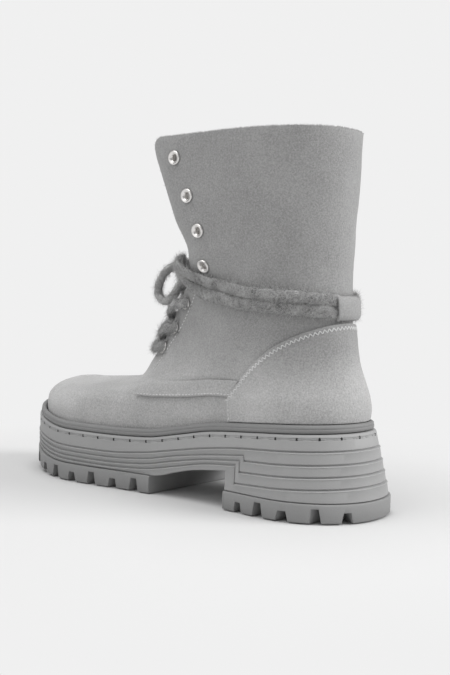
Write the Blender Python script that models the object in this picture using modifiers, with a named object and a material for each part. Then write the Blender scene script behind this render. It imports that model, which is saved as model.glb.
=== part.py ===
"""Left lace-up ankle boot in suede on a chunky lugged sole, standing empty with its top eyelets unlaced.

Frame: the toe points to -X, the outer (lateral) side to -Y and up is +Z. The origin is on the floor,
in the middle of the sole's length. Along the boot a place is given from the back of the heel to the toe,
and across it from the middle line to the lateral side.
"""

import math
from typing import NamedTuple

import bmesh
import bpy
from mathutils import Matrix, Vector

MM = 0.001
GAP = 0.3 * MM
OVERLAY_GAP = 0.7 * MM

# Driving sizes of the sole.
SOLE_LENGTH = 286 * MM
FOREFOOT_WIDTH = 100 * MM
HEEL_STACK = 48.5 * MM
TREAD_DEPTH = 11.3 * MM
TOE_SPRING = 9 * MM
HEEL_FLARE = 8.5 * MM
SIDE_FLARE = 4.8 * MM
HEEL_BREAST = 79 * MM
FOREFOOT_TREAD_START = 141 * MM
TREAD_PROUD = 1.1 * MM
RIB_DEPTH = 0.8 * MM
RIB_STEP = 0.5 * MM
RIB_HALF = 0.6 * MM
EDGE_ROUND = 1.1 * MM

# Driving sizes of the upper and of what is sewn to it.
SHAFT_HEIGHT = 175 * MM
SHAFT_WIDTH = 90 * MM
WALL = 2.2 * MM
OVERLAY = 1.3 * MM
FEATHER_TUCK = 5.6 * MM
FLAP_CORNER = 13 * MM
WELT_HEIGHT = 5.3 * MM
WELT_WIDTH = 3.9 * MM
WELT_SETBACK = 1.0 * MM
INSOLE_THICKNESS = 3 * MM
TONGUE_THICKNESS = 3 * MM
TONGUE_OVERLAP = 7.5 * MM
COUNTER_LENGTH = 85 * MM
BAND_END = 171 * MM
KEEPER_HALF = 11.5 * MM
KEEPER_SEAM = 1.2 * MM

# Driving sizes of the eyelets and of the lace.
EYELET_RADIUS = 4.1 * MM
EYELET_BARREL = 2.6 * MM
EYELET_BORE = 2.1 * MM
EYELET_FLANGE = 0.7 * MM
LACE_WIDTH = 5.8 * MM
LACE_DEPTH = 3.0 * MM
BOW_RADIUS = 2.3 * MM

ROUNDNESS = 2.15
HEEL_END = 0.16
TOE_END = 0.27
TAPER_START = 0.35


class Outline(NamedTuple):
    """Plan of the sole: place along it, half width and middle, in shares of its length and width."""

    along: float
    half: float
    middle: float


OUTLINE = (
    Outline(0.00, 0.425, 0.000),
    Outline(0.15, 0.428, 0.018),
    Outline(0.30, 0.396, 0.030),
    Outline(0.42, 0.378, 0.034),
    Outline(0.55, 0.415, 0.022),
    Outline(0.68, 0.475, 0.010),
    Outline(0.76, 0.498, -0.004),
    Outline(0.88, 0.480, -0.035),
    Outline(1.00, 0.440, -0.070),
)


class Profile(NamedTuple):
    """Side view of the sole: heights as shares of the heel stack, at a share of its length."""

    along: float
    top: float
    plain: float
    upper: float
    middle: float
    lower: float


HEEL_LINES = (
    Profile(0.00, 1.025, 0.825, 0.672, 0.534, 0.394),
    Profile(0.16, 0.985, 0.788, 0.634, 0.496, 0.356),
    Profile(0.30, 0.925, 0.750, 0.600, 0.462, 0.322),
)
FORE_LINES = (
    Profile(0.00, 1.025, 0.825, 0.765, 0.690, 0.640),
    Profile(0.16, 0.985, 0.788, 0.735, 0.665, 0.610),
    Profile(0.24, 0.950, 0.757, 0.676, 0.612, 0.556),
    Profile(0.34, 0.897, 0.688, 0.610, 0.552, 0.499),
    Profile(0.43, 0.800, 0.600, 0.530, 0.463, 0.396),
    Profile(0.52, 0.715, 0.515, 0.436, 0.368, 0.307),
    Profile(0.62, 0.697, 0.470, 0.402, 0.338, 0.282),
    Profile(0.75, 0.700, 0.473, 0.406, 0.342, 0.288),
    Profile(0.87, 0.757, 0.528, 0.462, 0.398, 0.344),
    Profile(1.00, 0.870, 0.645, 0.580, 0.515, 0.462),
)


class Corner(NamedTuple):
    """Where a side line drops from its forefoot height to its heel height."""

    line: str
    place: float


CORNERS = (Corner("upper", 0.229), Corner("middle", 0.2395), Corner("lower", 0.250))


class Arch(NamedTuple):
    """Underside between heel and forefoot tread: height as a share of the heel stack."""

    along: float
    height: float


ARCH = (Arch(0.27, 0.470), Arch(0.37, 0.398), Arch(0.43, 0.318), Arch(0.475, 0.245), Arch(0.50, 0.235))


class Section(NamedTuple):
    """One closed section of the last, from its back point to its front point.

    back and front are shares of the sole length, the rises above the sole's top edge are shares of the
    shaft height, width and dip are shares of the shaft width and tuck is a share of the forefoot width.
    taper is how much narrower the section gets towards its front.
    foot says how much of the foot's plan the section keeps, and hug how closely it follows the sole.
    """

    back: float
    back_rise: float
    front: float
    front_rise: float
    foot: float
    tuck: float
    width: float
    taper: float
    dip: float
    hug: float
    heel_end: float
    toe_end: float


SECTIONS = (
    Section(0.0493, 0.0035, 0.9785, 0.0035, 1.00, 0.056, 0.440, 0.00, 0.000, 1.00, 0.16, 0.27),
    Section(0.0465, 0.034, 0.9810, 0.034, 1.00, 0.053, 0.440, 0.00, 0.000, 1.00, 0.16, 0.27),
    Section(0.0440, 0.068, 0.9770, 0.071, 1.00, 0.047, 0.440, 0.00, 0.000, 0.92, 0.17, 0.28),
    Section(0.0470, 0.109, 0.9560, 0.112, 0.94, 0.052, 0.430, 0.00, 0.014, 0.72, 0.19, 0.31),
    Section(0.0570, 0.171, 0.9020, 0.155, 0.80, 0.075, 0.420, 0.02, 0.052, 0.45, 0.23, 0.36),
    Section(0.0710, 0.240, 0.7970, 0.186, 0.60, 0.095, 0.412, 0.12, 0.078, 0.20, 0.28, 0.38),
    Section(0.0820, 0.320, 0.6640, 0.209, 0.38, 0.110, 0.408, 0.36, 0.066, 0.00, 0.33, 0.30),
    Section(0.0880, 0.383, 0.6120, 0.283, 0.20, 0.110, 0.405, 0.52, 0.033, 0.00, 0.38, 0.20),
    Section(0.0905, 0.457, 0.5610, 0.381, 0.08, 0.110, 0.408, 0.58, 0.000, 0.00, 0.42, 0.16),
    Section(0.0915, 0.548, 0.5230, 0.493, 0.00, 0.110, 0.412, 0.52, 0.000, 0.00, 0.45, 0.18),
    Section(0.0915, 0.651, 0.4720, 0.640, 0.00, 0.110, 0.408, 0.02, 0.000, 0.00, 0.47, 0.24),
    Section(0.0880, 0.754, 0.5000, 0.789, 0.00, 0.110, 0.430, -0.06, 0.000, 0.00, 0.48, 0.21),
    Section(0.0840, 0.863, 0.5330, 0.943, 0.00, 0.110, 0.458, -0.06, 0.000, 0.00, 0.49, 0.20),
    Section(0.0815, 1.000, 0.5630, 1.075, 0.00, 0.110, 0.485, -0.05, 0.000, 0.00, 0.50, 0.20),
)
TOP_LEVEL = len(SECTIONS) - 1
THROAT_LEVEL = 6


class Throat(NamedTuple):
    """Half of the gap between the two front edges, as a share of the shaft width, at a level."""

    level: float
    gap: float


THROAT = (
    Throat(6.0, 0.000),
    Throat(6.15, 0.070),
    Throat(6.5, 0.105),
    Throat(7.0, 0.122),
    Throat(8.0, 0.122),
    Throat(9.0, 0.160),
    Throat(9.5, 0.330),
    Throat(10.0, 0.372),
    Throat(11.0, 0.410),
    Throat(12.0, 0.439),
    Throat(13.0, 0.466),
)


class Eyelet(NamedTuple):
    """A hole beside the throat: its level and its distance from the front edge."""

    level: float
    inset: float


EYELETS = (
    Eyelet(7.36, 13.5 * MM),
    Eyelet(8.00, 15.5 * MM),
    Eyelet(8.82, 17.0 * MM),
    Eyelet(9.66, 12.5 * MM),
    Eyelet(10.55, 16.6 * MM),
    Eyelet(11.45, 18.8 * MM),
    Eyelet(12.42, 18.0 * MM),
)
LACED = 3


class Seam(NamedTuple):
    """Top edge of the heel counter: height above the sole's top edge, at a share of the counter's length."""

    along: float
    rise: float


COUNTER_SEAM = (
    Seam(0.00, 0.365),
    Seam(0.22, 0.350),
    Seam(0.44, 0.322),
    Seam(0.64, 0.280),
    Seam(0.80, 0.226),
    Seam(0.91, 0.172),
    Seam(1.00, 0.118),
)


class Band(NamedTuple):
    """Strip along the quarter's lower edge: its two edges above the sole's top edge, at a place."""

    along: float
    bottom: float
    top: float


BAND = (
    Band(0.30, 0.118, 0.176),
    Band(0.40, 0.128, 0.186),
    Band(0.50, 0.150, 0.208),
    Band(0.60, 0.155, 0.212),
)


class Strand(NamedTuple):
    """A lace strand round the ankle, at a share of the half turn.

    upper and lower are both strands' heights above the sole's top edge, as shares of the shaft height, and
    lift is how far they stand off the upper, as a share of the lace's width.
    """

    turn: float
    upper: float
    lower: float
    lift: float


WRAP = (
    Strand(0.00, 0.428, 0.389, 0.00),
    Strand(0.20, 0.440, 0.412, 0.02),
    Strand(0.30, 0.448, 0.434, 0.04),
    Strand(0.40, 0.463, 0.450, 0.06),
    Strand(0.50, 0.489, 0.474, 0.08),
    Strand(0.59, 0.516, 0.500, 0.10),
    Strand(0.68, 0.556, 0.541, 0.16),
    Strand(0.80, 0.600, 0.586, 0.50),
    Strand(0.90, 0.622, 0.611, 1.15),
    Strand(0.96, 0.632, 0.624, 1.50),
)


class Spot(NamedTuple):
    """A point of a cord's route in millimetres: along the boot, out to the lateral side, and up."""

    along: float
    across: float
    height: float


KNOT = Spot(147.5, 0.0, 145.0)
KNOT_SIZE = Spot(4.6, 8.0, 5.2)
LOOP_LATERAL = (
    Spot(150.2, 7.5, 144.8),
    Spot(152.6, 12.4, 144.0),
    Spot(156.4, 15.6, 140.2),
    Spot(159.4, 17.6, 133.6),
    Spot(159.8, 18.4, 127.2),
    Spot(156.6, 18.8, 122.6),
    Spot(151.6, 18.4, 121.8),
    Spot(147.2, 17.4, 125.0),
    Spot(144.6, 15.0, 131.0),
    Spot(144.2, 11.4, 135.6),
    Spot(146.2, 6.0, 138.8),
)
LOOP_MEDIAL = (
    Spot(150.2, -7.5, 144.8),
    Spot(152.6, -12.6, 142.8),
    Spot(154.2, -17.2, 137.8),
    Spot(154.4, -20.8, 132.0),
    Spot(152.8, -23.4, 126.8),
    Spot(149.6, -24.6, 124.2),
    Spot(146.0, -24.4, 124.8),
    Spot(143.4, -22.2, 128.0),
    Spot(142.8, -18.0, 132.0),
    Spot(143.8, -13.0, 135.4),
    Spot(146.2, -6.6, 138.6),
)
END_FRONT = (
    Spot(149.8, 2.6, 138.8),
    Spot(153.4, -0.4, 133.8),
    Spot(157.2, -4.6, 127.0),
    Spot(160.4, -8.6, 119.4),
    Spot(163.0, -12.4, 111.0),
    Spot(165.0, -16.0, 102.4),
    Spot(166.8, -18.6, 94.0),
)
END_BACK = (
    Spot(147.6, -1.8, 138.0),
    Spot(149.6, -6.8, 133.4),
    Spot(153.6, -11.8, 127.4),
    Spot(156.8, -16.2, 120.0),
    Spot(158.8, -19.8, 112.0),
    Spot(160.0, -22.6, 104.0),
)


class Notch(NamedTuple):
    """Gap between two tread lugs: its middle, its width and its height."""

    place: float
    width: float
    height: float


HEEL_NOTCHES = (
    Notch(66.8 * MM, 4.6 * MM, 6.2 * MM),
    Notch(51.5 * MM, 5.4 * MM, 8.6 * MM),
    Notch(35.0 * MM, 5.8 * MM, 6.2 * MM),
    Notch(17.0 * MM, 7.6 * MM, 8.6 * MM),
)
FORE_NOTCHES = (
    Notch(153.5 * MM, 5.2 * MM, 8.4 * MM),
    Notch(171.0 * MM, 5.2 * MM, 6.2 * MM),
    Notch(188.5 * MM, 5.2 * MM, 8.4 * MM),
    Notch(206.0 * MM, 5.4 * MM, 6.2 * MM),
    Notch(223.5 * MM, 5.6 * MM, 8.4 * MM),
    Notch(241.0 * MM, 5.6 * MM, 6.2 * MM),
    Notch(258.0 * MM, 5.6 * MM, 8.4 * MM),
)
NOTCH_REACH = 17 * MM
CHANNEL_HEIGHT = 4.5 * MM
CHANNEL_WIDTH = 6 * MM


class Finish(NamedTuple):
    """Base colour, roughness and metallic value of a material."""

    colour: tuple
    roughness: float
    metallic: float


SUEDE = Finish((0.36, 0.36, 0.36), 0.95, 0.0)
LINING = Finish((0.50, 0.49, 0.47), 1.0, 0.0)
RUBBER = Finish((0.28, 0.28, 0.275), 0.6, 0.0)
WOOL = Finish((0.24, 0.24, 0.24), 1.0, 0.0)
STEEL = Finish((0.75, 0.74, 0.72), 0.3, 1.0)


def clear_scene():
    """Removes whatever the scene starts with."""
    for obj in list(bpy.data.objects):
        bpy.data.objects.remove(obj, do_unlink=True)


def read(rows, at, column):
    """One column of a table, on a smooth curve through its rows, whose first column is the place."""
    places = [row[0] for row in rows]
    values = [getattr(row, column) for row in rows]
    return smooth(places, values, at)


def smooth(places, values, at):
    """Value at a place on a curve through points that never swings past them."""
    last = len(places) - 1
    if at <= places[0]:
        return values[0]
    if at >= places[last]:
        return values[last]
    left = 0
    while places[left + 1] < at:
        left += 1
    slopes = [(values[i + 1] - values[i]) / (places[i + 1] - places[i]) for i in range(last)]

    def tangent(i):
        if i == 0 or i == last:
            return slopes[min(i, last - 1)]
        before, after = slopes[i - 1], slopes[i]
        if before * after <= 0:
            return 0.0
        return 2 * before * after / (before + after)

    span = places[left + 1] - places[left]
    share = (at - places[left]) / span
    rest = 1 - share
    return (
        values[left] * (1 + 2 * share) * rest * rest
        + values[left + 1] * share * share * (3 - 2 * share)
        + tangent(left) * span * share * rest * rest
        - tangent(left + 1) * span * share * share * rest
    )


def point(along, across, height):
    """Place in the frame from a length along the boot, a width to the lateral side and a height."""
    return Vector((SOLE_LENGTH / 2 - along, -across, height))


def rounded(share, heel_end, toe_end):
    """Half width of a plan with round ends, as a share of its full half width."""
    back = max(0.0, 1 - share / heel_end)
    front = max(0.0, 1 - (1 - share) / toe_end)
    width = 1 - back**ROUNDNESS
    width *= 1 - front**ROUNDNESS
    return max(0.0, width) ** (1 / ROUNDNESS)


def side_flare(along):
    """How much wider the sole's foot is than its top edge, on each side."""
    heel = min(1.0, max(0.0, (0.62 - along / SOLE_LENGTH) / 0.30))
    return SIDE_FLARE * heel


def line_height(column, along):
    """Height of one of the sole's side lines at a place along it."""
    share = along / SOLE_LENGTH
    for corner in CORNERS:
        if corner.line == column and share < corner.place:
            return HEEL_STACK * read(HEEL_LINES, share, column)
    return HEEL_STACK * read(FORE_LINES, share, column)


def sole_top(along):
    """Height of the sole's top edge."""
    return line_height("top", along)


def tread_bottom(along):
    """Height of the tread's underside, which lifts at the toe."""
    start = 0.75 * SOLE_LENGTH
    share = max(0.0, along - start) / (SOLE_LENGTH - start)
    return TOE_SPRING * share**2


def sole_underside(along):
    """Height of the midsole's underside over the heel, the arch and the forefoot."""
    if along < HEEL_BREAST:
        return TREAD_DEPTH
    if along < FOREFOOT_TREAD_START:
        return HEEL_STACK * read(ARCH, along / SOLE_LENGTH, "height")
    return tread_bottom(along) + TREAD_DEPTH + GAP


def lean(height, along):
    """Share of the flare that is used up at a height of the sole's side."""
    top = sole_top(along)
    return min(1.0, max(0.0, (height - TREAD_DEPTH) / (top - TREAD_DEPTH)))


def sole_ring(stations, height_at, inset):
    """Closed ring round the sole: lateral side first, from the heel to the toe and back."""
    back = HEEL_FLARE * lean(height_at(0.0), 0.0) + inset
    front = SOLE_LENGTH - inset
    lateral, medial = [], []
    for station in stations:
        along = station * SOLE_LENGTH
        along += back * max(0.0, 1 - station / HEEL_END)
        along -= inset * max(0.0, 1 - (1 - station) / TOE_END)
        share = (along - back) / (front - back)
        height = height_at(along)
        half = FOREFOOT_WIDTH * read(OUTLINE, along / SOLE_LENGTH, "half")
        half -= side_flare(along) * lean(height, along) + inset
        half *= rounded(share, HEEL_END, TOE_END)
        middle = FOREFOOT_WIDTH * read(OUTLINE, along / SOLE_LENGTH, "middle")
        lateral.append(point(along, middle + half, height))
        medial.append(point(along, middle - half, height))
    return lateral + medial[-2:0:-1]


def stations(count, extra=()):
    """Shares of the length, closer together at both ends, with the extra ones put in."""
    even = [(1 - math.cos(math.pi * i / count)) / 2 for i in range(count + 1)]
    kept = [share for share in even if all(abs(share - place) > 0.012 for place in extra)]
    return sorted(kept + list(extra))


def material(name, finish):
    """Principled material of a finish, made once."""
    found = bpy.data.materials.get(name)
    if found:
        return found
    made = bpy.data.materials.new(name)
    made.use_nodes = True
    shader = made.node_tree.nodes["Principled BSDF"]
    shader.inputs["Base Color"].default_value = (*finish.colour, 1.0)
    shader.inputs["Roughness"].default_value = finish.roughness
    shader.inputs["Metallic"].default_value = finish.metallic
    return made


def add_mesh(name, mesh, finish, collection, label):
    """Object of a mesh, smooth apart from its sharp edges, with its material."""
    obj = bpy.data.objects.new(name, mesh)
    collection.objects.link(obj)
    mesh.materials.append(material(label, finish))
    mesh.shade_smooth()
    mesh.set_sharp_from_angle(angle=math.radians(35))
    return obj


def mesh_of(name, points, faces):
    """Mesh from points and faces, with doubles merged and empty faces gone."""
    mesh = bpy.data.meshes.new(name)
    mesh.from_pydata([tuple(p) for p in points], [], faces)
    work = bmesh.new()
    work.from_mesh(mesh)
    bmesh.ops.remove_doubles(work, verts=work.verts, dist=0.005 * MM)
    bmesh.ops.dissolve_degenerate(work, edges=work.edges, dist=0.005 * MM)
    work.to_mesh(mesh)
    work.free()
    return mesh


def face_out(mesh):
    """Turns the faces of a closed mesh outwards."""
    work = bmesh.new()
    work.from_mesh(mesh)
    bmesh.ops.recalc_face_normals(work, faces=work.faces)
    work.to_mesh(mesh)
    work.free()


def loft(name, rings):
    """Closed mesh through a stack of rings, capped across at both ends."""
    count = len(rings[0])
    half = count // 2
    points = [p for ring in rings for p in ring]
    faces = []
    for low in range(len(rings) - 1):
        for i in range(count):
            a, b = low * count + i, low * count + (i + 1) % count
            faces.append((a, b, b + count, a + count))
    for start in (0, (len(rings) - 1) * count):
        for i in range(half):
            corners = (i, i + 1, (count - i - 1) % count, (count - i) % count)
            face = [start + c for c in dict.fromkeys(corners)]
            faces.append(tuple(face))
    mesh = mesh_of(name, points, faces)
    face_out(mesh)
    return mesh


def hoop(name, rings):
    """Closed mesh through rings that form a hollow belt, the last joined to the first."""
    count = len(rings[0])
    total = len(rings) * count
    points = [p for ring in rings for p in ring]
    faces = []
    for low in range(len(rings)):
        for i in range(count):
            a, b = low * count + i, low * count + (i + 1) % count
            faces.append((a, b, (b + count) % total, (a + count) % total))
    mesh = mesh_of(name, points, faces)
    face_out(mesh)
    return mesh


def midsole(collection):
    """Moulded unit with the heel block, its ribbed sides, the arch and the top bed."""
    margin = 0.35 * MM / SOLE_LENGTH
    places = [HEEL_BREAST / SOLE_LENGTH, FOREFOOT_TREAD_START / SOLE_LENGTH]
    places += [corner.place for corner in CORNERS]
    extra = [place + side * margin for place in places for side in (-1, 1)]
    shares = stations(17, extra)
    rings = [sole_ring(shares, sole_underside, 0.0)]
    for column in ("lower", "middle", "upper", "plain"):
        for rise, inset in ((-RIB_HALF, -RIB_STEP), (0.0, RIB_DEPTH), (RIB_HALF, 0.0)):
            rings.append(sole_ring(shares, lambda s, c=column, r=rise: line_height(c, s) + r, inset))
    rings.append(sole_ring(shares, lambda s: sole_top(s) - EDGE_ROUND, 0.0))
    rings.append(sole_ring(shares, sole_top, EDGE_ROUND))
    return add_mesh("midsole", loft("midsole", rings), RUBBER, collection, "rubber")


def tread_rings(shares, start, end, top_at):
    """Rings of a tread slab that covers the sole from one place to another."""
    rings = []
    heights = (
        (lambda s: tread_bottom(s), -TREAD_PROUD + EDGE_ROUND),
        (lambda s: tread_bottom(s) + EDGE_ROUND, -TREAD_PROUD),
        (lambda s: top_at(s) - EDGE_ROUND, -TREAD_PROUD),
        (lambda s: top_at(s), -TREAD_PROUD + EDGE_ROUND),
    )
    for height_at, inset in heights:
        ring = sole_ring(shares, height_at, inset)
        rings.append([clamp(p, start, end, height_at) for p in ring])
    return rings


def clamp(place, start, end, height_at):
    """Moves a ring point to the slab's square end where it lies beyond it."""
    along = SOLE_LENGTH / 2 - place.x
    kept = min(max(along, start), end)
    if kept == along:
        return place
    return Vector((SOLE_LENGTH / 2 - kept, place.y, height_at(kept)))


def notch_cutters(name, notches, collection):
    """One mesh of the boxes that cut the gaps between the lugs, on both sides, and the inner channels."""
    work = bmesh.new()
    for notch in notches:
        lift = tread_bottom(notch.place)
        half = FOREFOOT_WIDTH * read(OUTLINE, notch.place / SOLE_LENGTH, "half")
        middle = FOREFOOT_WIDTH * read(OUTLINE, notch.place / SOLE_LENGTH, "middle")
        reach = FOREFOOT_WIDTH / 2 + NOTCH_REACH
        for side in (-1, 1):
            inner = half - NOTCH_REACH
            centre = point(notch.place, middle + side * (inner + reach / 2), 0.0)
            box(work, centre, notch.width, reach, lift + notch.height, lift)
        centre = point(notch.place, middle, 0.0)
        across = 2 * (half - NOTCH_REACH) - CHANNEL_WIDTH
        box(work, centre, CHANNEL_WIDTH * 0.6, across, lift + CHANNEL_HEIGHT, lift)
    mesh = bpy.data.meshes.new(name)
    work.to_mesh(mesh)
    work.free()
    cutter = bpy.data.objects.new(name, mesh)
    collection.objects.link(cutter)
    cutter.hide_render = True
    cutter.display_type = "WIRE"
    return cutter


def box(work, centre, length, width, top, lift):
    """Adds a box from well under the floor to a height."""
    bottom = -2 * TREAD_DEPTH + lift
    size = Matrix.Diagonal((length, width, top - bottom, 1.0))
    place = Matrix.Translation((centre.x, centre.y, (top + bottom) / 2))
    bmesh.ops.create_cube(work, size=1.0, matrix=place @ size)


def cut(obj, cutter, name="Cut"):
    """Takes a cutter away from an object."""
    boolean = obj.modifiers.new(name, "BOOLEAN")
    boolean.operation = "DIFFERENCE"
    boolean.object = cutter


def outsole_heel(collection, cutters):
    """Heel tread with its lugs, from the back to the breast."""
    shares = [s for s in stations(26) if s < HEEL_BREAST / SOLE_LENGTH]
    shares.append(HEEL_BREAST / SOLE_LENGTH)
    rings = tread_rings(shares + [1.0], 0.0, HEEL_BREAST, lambda s: TREAD_DEPTH - GAP)
    rings = [flat_front(ring, len(shares)) for ring in rings]
    obj = add_mesh("outsole_heel", loft("outsole_heel", rings), RUBBER, collection, "rubber")
    cut(obj, notch_cutters("heel_notches", HEEL_NOTCHES, cutters))
    return obj


def flat_front(ring, count):
    """Closes a ring across its front with a middle point between its last two."""
    lateral = ring[:count]
    medial = ring[count + 1 :]
    return lateral + [(lateral[-1] + medial[0]) / 2] + medial


def outsole_forefoot(collection, cutters):
    """Forefoot tread with its lugs, from behind the ball to the toe."""
    start = FOREFOOT_TREAD_START / SOLE_LENGTH
    shares = [0.0, start + 0.001] + [s for s in stations(26) if s > start + 0.01]
    rings = tread_rings(shares, FOREFOOT_TREAD_START, SOLE_LENGTH, lambda s: tread_bottom(s) + TREAD_DEPTH)
    rings = [flat_back(ring) for ring in rings]
    obj = add_mesh("outsole_forefoot", loft("outsole_forefoot", rings), RUBBER, collection, "rubber")
    cut(obj, notch_cutters("forefoot_notches", FORE_NOTCHES, cutters))
    return obj


def flat_back(ring):
    """Puts the ring's first point in the middle of its square back end."""
    return [(ring[1] + ring[-1]) / 2] + ring[1:]


def welt(collection):
    """Round strip on the sole's top edge, round the whole upper."""
    shares = stations(20)
    profile = (
        (WELT_SETBACK + 0.8 * MM, GAP),
        (WELT_SETBACK, 0.40 * WELT_HEIGHT),
        (WELT_SETBACK + 0.5 * MM, 0.78 * WELT_HEIGHT),
        (WELT_SETBACK + 0.45 * WELT_WIDTH, WELT_HEIGHT),
        (WELT_SETBACK + 0.9 * WELT_WIDTH, 0.86 * WELT_HEIGHT),
        (WELT_SETBACK + WELT_WIDTH, GAP),
    )
    rings = [sole_ring(shares, lambda s, r=rise: sole_top(s) + r, inset) for inset, rise in profile]
    return add_mesh("welt", hoop("welt", rings), RUBBER, collection, "rubber")


def insole(collection):
    """Footbed on the midsole, inside the upper."""
    shares = stations(20)
    inset = FEATHER_TUCK + WALL + 5 * GAP
    rings = [
        sole_ring(shares, lambda s: sole_top(s) + OVERLAY_GAP, inset),
        sole_ring(shares, lambda s: sole_top(s) + OVERLAY_GAP + INSOLE_THICKNESS, inset),
    ]
    return add_mesh("insole", loft("insole", rings), LINING, collection, "lining")


def section_value(level, column):
    """A column of the section table between its rows."""
    places = range(len(SECTIONS))
    return smooth(list(places), [getattr(row, column) for row in SECTIONS], level)


def last_point(level, angle):
    """Point of the upper's outer surface at a level, with the angle 0 at the back and pi at the front."""
    share = (1 - math.cos(angle)) / 2
    side = 1 if math.sin(angle) >= 0 else -1
    back = SOLE_LENGTH * section_value(level, "back")
    front = SOLE_LENGTH * section_value(level, "front")
    along = back + share * (front - back)
    foot = section_value(level, "foot")
    place = along / SOLE_LENGTH
    sole_half = FOREFOOT_WIDTH * (read(OUTLINE, place, "half") - section_value(level, "tuck"))
    sole_half -= side_flare(along)
    half = foot * sole_half + (1 - foot) * SHAFT_WIDTH * section_value(level, "width")
    ends = rounded(share, section_value(level, "heel_end"), section_value(level, "toe_end"))
    half *= 1 - section_value(level, "taper") * max(0.0, (share - TAPER_START) / (1 - TAPER_START))
    middle = foot * FOREFOOT_WIDTH * read(OUTLINE, place, "middle")
    hug = section_value(level, "hug")
    chord = sole_top(back) + share * (sole_top(front) - sole_top(back))
    floor = hug * sole_top(along) + (1 - hug) * chord
    back_rise = section_value(level, "back_rise")
    rise = back_rise + share * (section_value(level, "front_rise") - back_rise)
    height = floor + SHAFT_HEIGHT * rise - SHAFT_WIDTH * section_value(level, "dip") * ends
    return point(along, middle + side * half * ends, height)


def skin(level, angle, offset=0.0):
    """Point of the upper's surface moved out along its normal."""
    place = last_point(level, angle)
    if offset == 0.0:
        return place
    return place + offset * normal(level, angle)


def normal(level, angle):
    """Outward direction of the upper's surface."""
    turn, lift = 0.02, 0.04
    low, high = max(0.0, level - lift), min(TOP_LEVEL, level + lift)
    across = last_point(level, angle + turn) - last_point(level, angle - turn)
    upward = last_point(high, angle) - last_point(low, angle)
    return upward.cross(across).normalized()


def search(low, high, value_at, wanted):
    """Where a rising value reaches the wanted one, by halving."""
    for _ in range(26):
        middle = (low + high) / 2
        if value_at(middle) < wanted:
            low = middle
        else:
            high = middle
    return (low + high) / 2


def edge_angle(level, extra=0.0):
    """Angle of the throat's edge at a level, or of a line a little further from the middle."""
    gap = SHAFT_WIDTH * read(THROAT, level, "gap") + extra
    if level <= THROAT_LEVEL and extra == 0.0:
        return math.pi
    return search(math.pi / 2, math.pi, lambda a: last_point(level, a).y, -gap)


def inset_angle(level, inset):
    """Angle of a line at a distance behind the throat's edge, measured on the surface."""
    edge = edge_angle(level)
    start = last_point(level, edge)
    return search(-edge, -edge / 3, lambda a: (last_point(level, -a) - start).length, inset) * -1


def angle_at(level, along):
    """Angle at which a level passes a place along the boot."""
    return search(0.0, math.pi, lambda a: -last_point(level, a).x, along - SOLE_LENGTH / 2)


def rise_at(level, along):
    """Height above the sole's top edge where a level passes a place along the boot."""
    return last_point(level, angle_at(level, along)).z - sole_top(along)


def level_at(along, rise, low=0.0, high=TOP_LEVEL):
    """Level that has a height above the sole's top edge at a place along the boot."""
    return search(low, high, lambda k: rise_at(k, along), rise)


def level_on_angle(angle, rise):
    """Level that has a height above the sole's top edge at an angle round the shaft."""
    def height(level):
        place = last_point(level, angle)
        return place.z - sole_top(SOLE_LENGTH / 2 - place.x)
    return search(0.0, TOP_LEVEL, height, rise)


def sheet(name, rows):
    """Open surface through rows of points, facing out where rows rise and points run to the lateral side."""
    count = len(rows[0])
    points = [p for row in rows for p in row]
    faces = []
    for k in range(len(rows) - 1):
        for j in range(count - 1):
            a = k * count + j
            faces.append((a, a + count, a + count + 1, a + 1))
    return mesh_of(name, points, faces)


def thicken(obj, thickness):
    """Gives an open surface its thickness, inwards."""
    solidify = obj.modifiers.new("Wall", "SOLIDIFY")
    solidify.thickness = thickness
    solidify.offset = -1.0
    solidify.use_even_offset = True
    return obj


def top_level(level_count, angle, edge):
    """Highest level of a column, lower within the round corner of the flap."""
    distance = (last_point(TOP_LEVEL, edge) - last_point(TOP_LEVEL, angle)).length
    short = max(0.0, FLAP_CORNER - distance)
    drop = FLAP_CORNER - math.sqrt(max(0.0, FLAP_CORNER**2 - short**2))
    storey = (last_point(TOP_LEVEL, edge) - last_point(TOP_LEVEL - 1, edge)).length
    return level_count - drop / storey


def upper_rows(levels, columns):
    """Rows of points of the upper's outer surface, from the medial front edge round the back."""
    rows = []
    for level in levels:
        row = []
        for j in range(-columns, columns + 1):
            top_edge = edge_angle(TOP_LEVEL)
            top = top_level(TOP_LEVEL, abs(j) / columns * top_edge, top_edge)
            start = TOP_LEVEL - 1.0
            bent = level if level <= start else start + (level - start) * (top - start)
            row.append(last_point(bent, j / columns * edge_angle(bent)))
        rows.append(row)
    return rows


def upper(collection, cutters):
    """The whole upper: one hollow wall, open at the collar, along the throat and underneath."""
    fine = (6.07, 6.15, 6.3)
    halves = [i / 2 for i in range(2 * TOP_LEVEL + 1)]
    coarse = [0.5, 1.5, 2.5, 10.5, 11.5, 12.5]
    levels = sorted([level for level in halves if level not in coarse] + [12.75] + list(fine))
    obj = add_mesh("upper", sheet("upper", upper_rows(levels, 16)), SUEDE, collection, "suede")
    thicken(obj, WALL)
    cut(obj, eyelet_cutters(cutters), "Eyelet holes")
    return obj


def eyelet_places():
    """Level, angle and side of each eyelet, lateral ones first."""
    places = []
    for side in (1, -1):
        for eyelet in EYELETS:
            places.append((eyelet.level, inset_angle(eyelet.level, eyelet.inset), side))
    return places


def seat(level, angle):
    """Turned and moved frame that stands on the surface, its Z along the surface's normal."""
    out = normal(level, angle)
    turn = out.to_track_quat("Z", "Y").to_matrix().to_4x4()
    return Matrix.Translation(skin(level, angle)) @ turn


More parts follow.
